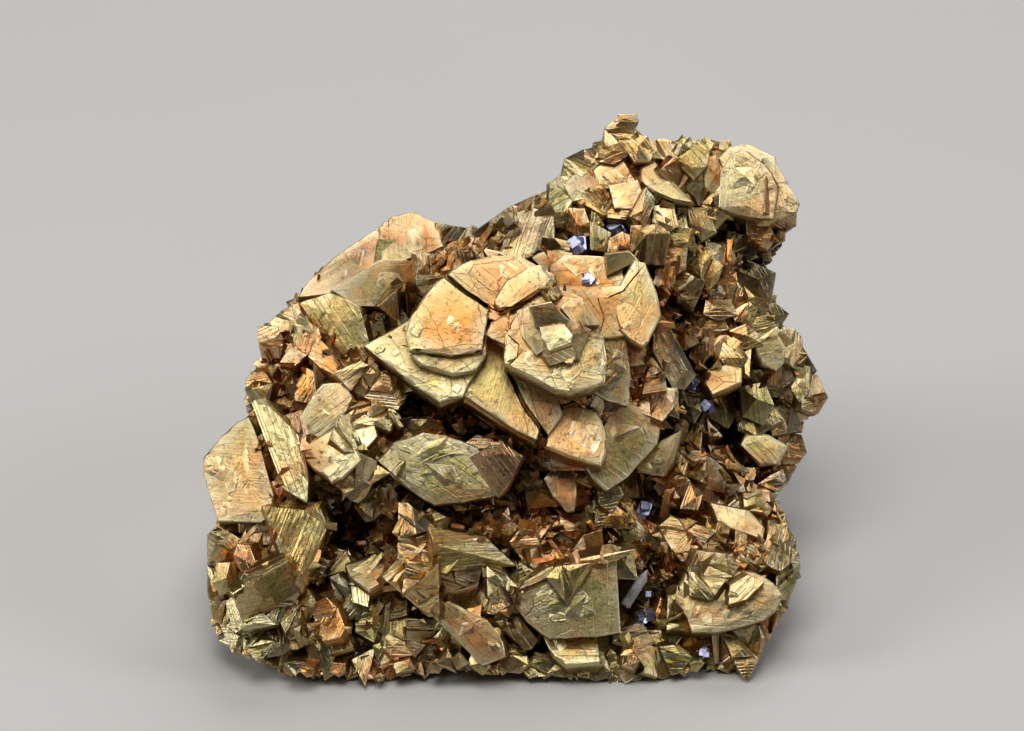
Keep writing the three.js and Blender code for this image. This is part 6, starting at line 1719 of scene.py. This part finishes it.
def quartz_prism(draw):
    """A six-sided prism with a point and fine growth lines across its sides."""
    foot, tip = place([QUARTZ_FOOT])[0], place([QUARTZ_TIP])[0]
    length = np.linalg.norm(tip - foot)
    axis = (tip - foot) / length
    axes = frame_of(axis, 0.3)
    shoulder = length - QUARTZ_WIDTH * QUARTZ_POINT
    radii = [QUARTZ_WIDTH / 2 * uneven(draw, 0.9, 0.16) for _ in range(QUARTZ_SIDES)]
    at = QUARTZ_FOOT_EDGE
    rings = [(0, 0.94), (at, 1)]
    while at < shoulder - 0.4:
        at += uneven(draw, *QUARTZ_LINE_GAPS)
        rings += [(at, 1), (at + QUARTZ_LINE_WIDTH, QUARTZ_LINE_SHARE)]
    rings += [(shoulder, 0.98)]
    points, polygons = [], [list(range(QUARTZ_SIDES - 1, -1, -1))]
    for height, share in rings:
        for side, radius in enumerate(radii):
            angle = side * math.tau / QUARTZ_SIDES
            points.append((math.cos(angle) * radius * share, math.sin(angle) * radius * share, height))
    last = len(points) - QUARTZ_SIDES
    for first in range(0, last, QUARTZ_SIDES):
        for side in range(QUARTZ_SIDES):
            here, beside = first + side, first + (side + 1) % QUARTZ_SIDES
            polygons.append([here, beside, beside + QUARTZ_SIDES, here + QUARTZ_SIDES])
    polygons += [[last + side, last + (side + 1) % QUARTZ_SIDES, len(points)] for side in range(QUARTZ_SIDES)]
    points.append((0.12, -0.08, length))
    heap = Heap()
    heap.add(np.array(points) @ axes + foot, polygons, (0.9, 0.9, 0.9), axis, 0.0)
    piece = heap.mesh("quartz_prism")
    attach(piece, "root")
    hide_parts("quartz_crystal")
    return piece


class Shader:
    """A material built from nodes."""

    def __init__(self, name):
        self.material = bpy.data.materials.new(name)
        self.material.use_nodes = True
        self.tree = self.material.node_tree

    def set(self, socket, value):
        """Gives a socket a value, or the output of another node."""
        if isinstance(value, bpy.types.NodeSocket):
            self.tree.links.new(value, socket)
        else:
            socket.default_value = value

    def filled(self, made, values):
        """Gives a node's first inputs their values and returns the node."""
        for socket, value in zip(made.inputs, values):
            self.set(socket, value)
        return made

    def surfaced(self, **values):
        """Sets the surface's inputs, by name, and returns the material."""
        for key, value in values.items():
            self.set(self.tree.nodes["Principled BSDF"].inputs[key.replace("_", " ")], value)
        return self.material

    def node(self, kind, result=0, settings=None, **values):
        """Adds a node and returns one of its outputs. Values are its inputs, by name."""
        made = self.tree.nodes.new(kind)
        for key, value in (settings or {}).items():
            setattr(made, key, value)
        for key, value in values.items():
            self.set(made.inputs[key.replace("_", " ")], value)
        return made.outputs[result]

    def math(self, operation, *values):
        """A number made of others."""
        made = self.tree.nodes.new("ShaderNodeMath")
        made.operation = operation
        return self.filled(made, values).outputs[0]

    def times(self, first, second):
        """Two numbers' product."""
        return self.math("MULTIPLY", first, second)

    def plus(self, first, second):
        """Two numbers' sum."""
        return self.math("ADD", first, second)

    def vector(self, operation, *values):
        """A vector or a number made of two vectors."""
        made = self.tree.nodes.new("ShaderNodeVectorMath")
        made.operation = operation
        return self.filled(made, values).outputs["Value" if operation == "DOT_PRODUCT" else "Vector"]

    def spread(self, value, low, high, bottom=0.0, top=1.0):
        """Maps a number from low..high to bottom..top, held at the ends."""
        made = self.tree.nodes.new("ShaderNodeMapRange")
        return self.filled(made, (value, low, high, bottom, top)).outputs[0]

    def blend(self, share, first, second, how="MIX"):
        """Mixes two colours."""
        made = self.tree.nodes.new("ShaderNodeMix")
        made.data_type, made.blend_type = "RGBA", how
        self.set(made.inputs["Factor"], share)
        self.set(made.inputs[6], first)
        self.set(made.inputs[7], second)
        return made.outputs[2]

    def streaks(self, along, down, close, long, detail):
        """Long random streaks: so many a millimetre along one direction and down the other."""
        places = self.node("ShaderNodeCombineXYZ", X=self.times(along, close), Y=self.times(down, long))
        return self.node("ShaderNodeTexNoise", Vector=places, Scale=1.0, Detail=detail, Roughness=0.6)

    def patches(self, scale, detail=3.0, roughness=0.5, shift=0.0):
        """Soft random patches, scale of them a millimetre."""
        position = self.node("ShaderNodeTexCoord", 3)
        moved = self.node("ShaderNodeMapping", Vector=position, Location=(shift, shift * 0.7, shift * 0.3))
        return self.node("ShaderNodeTexNoise", Vector=moved, Scale=scale / MM, Detail=detail,
                         Roughness=roughness)

    def stained(self, colour, patch, low, high, share, stain):
        """A colour with patches of another: where they start and are full, and how strong they are."""
        there = self.spread(self.patches(*patch), low, high)
        return self.blend(self.times(there, share), colour, stain)

    def hairlines(self, scale, width):
        """Thin lines round irregular cells, scale of them a millimetre, that fade out in places."""
        position = self.node("ShaderNodeTexCoord", 3)
        bent = self.node("ShaderNodeTexNoise", 1, Vector=position, Scale=0.5 / MM, Detail=2.0)
        moved = self.vector("ADD", position, self.vector("MULTIPLY", bent, (0.9 * MM,) * 3))
        edges = {"feature": "DISTANCE_TO_EDGE"}
        gap = self.node("ShaderNodeTexVoronoi", 0, edges, Vector=moved, Scale=scale / MM)
        line = self.spread(gap, width * 0.4, width, 1.0, 0.0)
        there = self.spread(self.patches(0.12, 2, 0.5, 0.41), 0.44, 0.56)
        return self.times(line, there)


# Chalcopyrite's stains: the scale, detail, roughness and shift of their patches, where these start and are
# full, how strong they are, and their colour.
TARNISH = [
    ((0.11, 5, 0.6, 0.09), 0.46, 0.6, 0.6, (0.62, 0.29, 0.10, 1)),
    ((0.16, 4, 0.6, 0.13), 0.48, 0.64, 0.5, (0.44, 0.39, 0.16, 1)),
    ((0.24, 4, 0.6, 0.27), 0.58, 0.7, 0.35, (0.46, 0.33, 0.34, 1)),
]
PITS = ((1.3, 5, 0.75, 0.17), 0.56, 0.63, 0.65, (0.09, 0.06, 0.03, 1))
CRAZED_COLOUR = (0.06, 0.04, 0.025, 1)
# The pale colour of the painted highlight along the faces' edges.
EDGE_HIGHLIGHT_COLOUR = (0.80, 0.72, 0.48, 1)


def chalcopyrite_relief(shader, calm):
    """The fine growth lines, the grit, the hairlines, and the height that they and the lumps make."""
    grain = shader.node("ShaderNodeAttribute", 1, {"attribute_name": "grain"})
    position = shader.node("ShaderNodeTexCoord", 3)
    follow = shader.vector("CROSS_PRODUCT", shader.node("ShaderNodeNewGeometry", 3), grain)
    along = shader.times(shader.vector("DOT_PRODUCT", position, grain), 1 / MM)
    down = shader.times(shader.vector("DOT_PRODUCT", position, follow), 1 / MM)
    fine = shader.streaks(along, down, 4.6, 0.3, 4)
    broad = shader.streaks(along, down, 1.2, 0.12, 2)
    grit = shader.patches(3.2, 5, 0.7, 0.05)
    smooth = shader.spread(shader.patches(0.3, 2, 0.5, 0.33), 0.4, 0.6, 0.35, 1.3)
    smooth = shader.times(smooth, shader.spread(calm, 0.0, 1.0, 1.35, 0.5))
    height = shader.times(shader.plus(fine, shader.times(broad, 0.8)), smooth)
    height = shader.plus(height, shader.times(grit, shader.spread(calm, 0.0, 1.0, 0.45, 1.0)))
    height = shader.plus(height, shader.times(shader.patches(0.6, 4, 0.6, 0.07), 1.5))
    crazed = shader.times(shader.hairlines(0.16, 0.012), shader.spread(calm, 0.0, 1.0, 0.3, 0.8))
    return fine, grit, crazed, shader.math("SUBTRACT", height, shader.times(crazed, 0.5))


def chalcopyrite_material():
    """Brassy metal with growth lines, tarnish, pits and a pale painted highlight along its edges."""
    shader = Shader("chalcopyrite")
    tint = shader.node("ShaderNodeAttribute", 0, {"attribute_name": "tint"})
    calm = shader.node("ShaderNodeAttribute", 2, {"attribute_name": "calm"})
    fine, grit, crazed, height = chalcopyrite_relief(shader, calm)
    bump = shader.node("ShaderNodeBump", Strength=0.36, Distance=0.16 * MM, Height=height)
    colour = tint
    for stain in TARNISH:
        colour = shader.stained(colour, *stain)
    shade = shader.spread(fine, 0.36, 0.66, shader.spread(calm, 0.0, 1.0, 0.74, 0.9), 1.12)
    grey = shader.node("ShaderNodeCombineColor", Red=shade, Green=shade, Blue=shade)
    colour = shader.stained(shader.blend(1.0, colour, grey, "MULTIPLY"), *PITS)
    colour = shader.blend(shader.times(crazed, 0.7), colour, CRAZED_COLOUR)
    # Painted highlight along the faces' edges, from the tint's alpha.
    colour = shader.blend(shader.times(tint.node.outputs["Alpha"], 0.5), colour, EDGE_HIGHLIGHT_COLOUR)
    roughness = shader.plus(shader.spread(grit, 0.3, 0.7, 0.24, 0.38), shader.times(calm, 0.07))
    return shader.surfaced(Base_Color=colour, Roughness=roughness, Metallic=1.0, Normal=bump)


def galena_material():
    """Lead-grey metal with a faint bumpy grain and a blue tarnish."""
    shader = Shader("galena")
    patch = shader.spread(shader.patches(0.9, 3, 0.5, 0.3), 0.4, 0.62)
    colour = shader.blend(patch, (0.42, 0.45, 0.60, 1), (0.31, 0.32, 0.54, 1))
    roughness = shader.spread(shader.patches(4, 3), 0.3, 0.7, 0.26, 0.42)
    bump = shader.node("ShaderNodeBump", Strength=0.4, Distance=0.06 * MM, Height=shader.patches(3, 4, 0.6))
    return shader.surfaced(Base_Color=colour, Roughness=roughness, Metallic=1.0, Normal=bump)


def quartz_material():
    """Clear, faintly lilac crystal with a faintly bumpy surface and patchy roughness."""
    shader = Shader("quartz")
    roughness = shader.spread(shader.patches(1.2, 3), 0.4, 0.6, 0.2, 0.45)
    bump = shader.node("ShaderNodeBump", Strength=0.3, Distance=0.04 * MM, Height=shader.patches(2.4, 3))
    return shader.surfaced(Base_Color=(0.97, 0.95, 0.98, 1), Transmission_Weight=0.45, IOR=1.544,
                           Roughness=roughness, Normal=bump)


def floor_material():
    """A plain pale matt floor."""
    shader = Shader("floor")
    mottled = shader.blend(shader.patches(0.01, 3), (0.49, 0.485, 0.48, 1), (0.53, 0.525, 0.52, 1))
    return shader.surfaced(Base_Color=mottled, Roughness=0.85)


# The soft lights: degrees round the specimen from its front, degrees above the floor, size in metres, power
# and colour.
LIGHTS = [
    ("key", -18, 72, 0.5, 3.75, (1, 0.97, 0.92)),
    ("back", 168, 52, 0.55, 3.0, (1, 0.98, 0.96)),
    ("left", -76, 28, 0.3, 2.3, (1, 0.97, 0.93)),
    ("right", 76, 35, 0.3, 1.5, (0.93, 0.96, 1)),
]
LIGHT_TARGET = Vector((0, 0, 0.03))
LIGHT_AWAY = 0.8
AIR_COLOUR = (0.60, 0.62, 0.68, 1)
AIR_STRENGTH = 0.06
FLOOR_WIDTH = 12


def soft_light(name, place_at, size, power, colour):
    """A square soft light at a place in metres, turned to the specimen."""
    data = bpy.data.lights.new(name, "AREA")
    data.shape, data.size, data.energy, data.color = "SQUARE", size, power, colour
    light = bpy.data.objects.new(name, data)
    bpy.context.scene.collection.objects.link(light)
    light.location = place_at
    light.rotation_euler = (LIGHT_TARGET - place_at).to_track_quat("-Z", "Y").to_euler()


# The photograph's view: which place on the face lies at the middle of the picture, and how wide it is there.
PICTURE_MIDDLE = (-0.57, 45.2, 0)
PICTURE_WIDTH = 146.3
CAMERA_AWAY = 2.5
SENSOR_WIDTH = 36


def make_camera():
    """A camera that looks square on to the face from so many metres away."""
    data = bpy.data.cameras.new("camera")
    data.sensor_width = SENSOR_WIDTH
    data.lens = SENSOR_WIDTH * CAMERA_AWAY / (PICTURE_WIDTH * MM)
    data.clip_start, data.clip_end = 0.05, 20
    camera = bpy.data.objects.new("camera", data)
    bpy.context.scene.collection.objects.link(camera)
    middle = Vector(place([PICTURE_MIDDLE])[0] * MM)
    camera.location = middle + CAMERA_AWAY * Vector((0, -LEAN_COS, LEAN_SIN))
    camera.rotation_euler = (math.radians(90 - FACE_LEAN), 0, 0)
    bpy.context.scene.camera = camera


def make_stage():
    """The floor, the lights and the air's even light."""
    bpy.ops.mesh.primitive_plane_add(size=FLOOR_WIDTH, location=(0, 0, 0))
    floor = bpy.context.object
    floor.name = "floor"
    floor.data.materials.append(floor_material())
    for name, turn, rise, size, power, colour in LIGHTS:
        turn, rise = math.radians(turn), math.radians(rise)
        towards = Vector((math.sin(turn) * math.cos(rise), -math.cos(turn) * math.cos(rise), math.sin(rise)))
        soft_light(name, LIGHT_TARGET + towards * LIGHT_AWAY, size, power, colour)
    world = bpy.data.worlds.new("air")
    bpy.context.scene.world = world
    world.use_nodes = True
    background = world.node_tree.nodes["Background"]
    background.inputs["Color"].default_value = AIR_COLOUR
    background.inputs["Strength"].default_value = AIR_STRENGTH
    bpy.context.scene.view_settings.view_transform = "Standard"


make_camera()
make_stage()

draw = random.Random(11)
face_heap = Heap()
for crystal in CRYSTAL_LIST:
    for part in divided(draw, crystal, SMALLEST_PART):
        add_crystal(face_heap, draw, part)
        for flake in flakes(draw, part):
            add_crystal(face_heap, draw, flake)
under_heap = Heap()
for crystal in FILLERS:
    add_crystal(under_heap, draw, crystal)
small_shapes = [small_crystal(points(draw), stripes) for points, stripes, count in SMALL_KINDS
                for _ in range(count)]
small_heap = Heap()
face_small_crystals(small_heap, draw, small_shapes)
border_crystals(small_heap, draw, small_shapes)
side_heap = Heap()
side_crystals(side_heap, draw, small_shapes)

brass = chalcopyrite_material()
chalcopyrite_pieces = [
    face_heap.mesh("chalcopyrite_face"),
    under_heap.mesh("chalcopyrite_under"),
    small_heap.mesh("chalcopyrite_small"),
    side_heap.mesh("chalcopyrite_sides"),
    core_skin(),
]
for piece in chalcopyrite_pieces:
    piece.data.materials.append(brass)
    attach(piece, "root")
    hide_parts("chalcopyrite")

silver = galena_material()
for row in GALENA:
    galena_cluster(*row, draw).data.materials.append(silver)
quartz_prism(draw).data.materials.append(quartz_material())
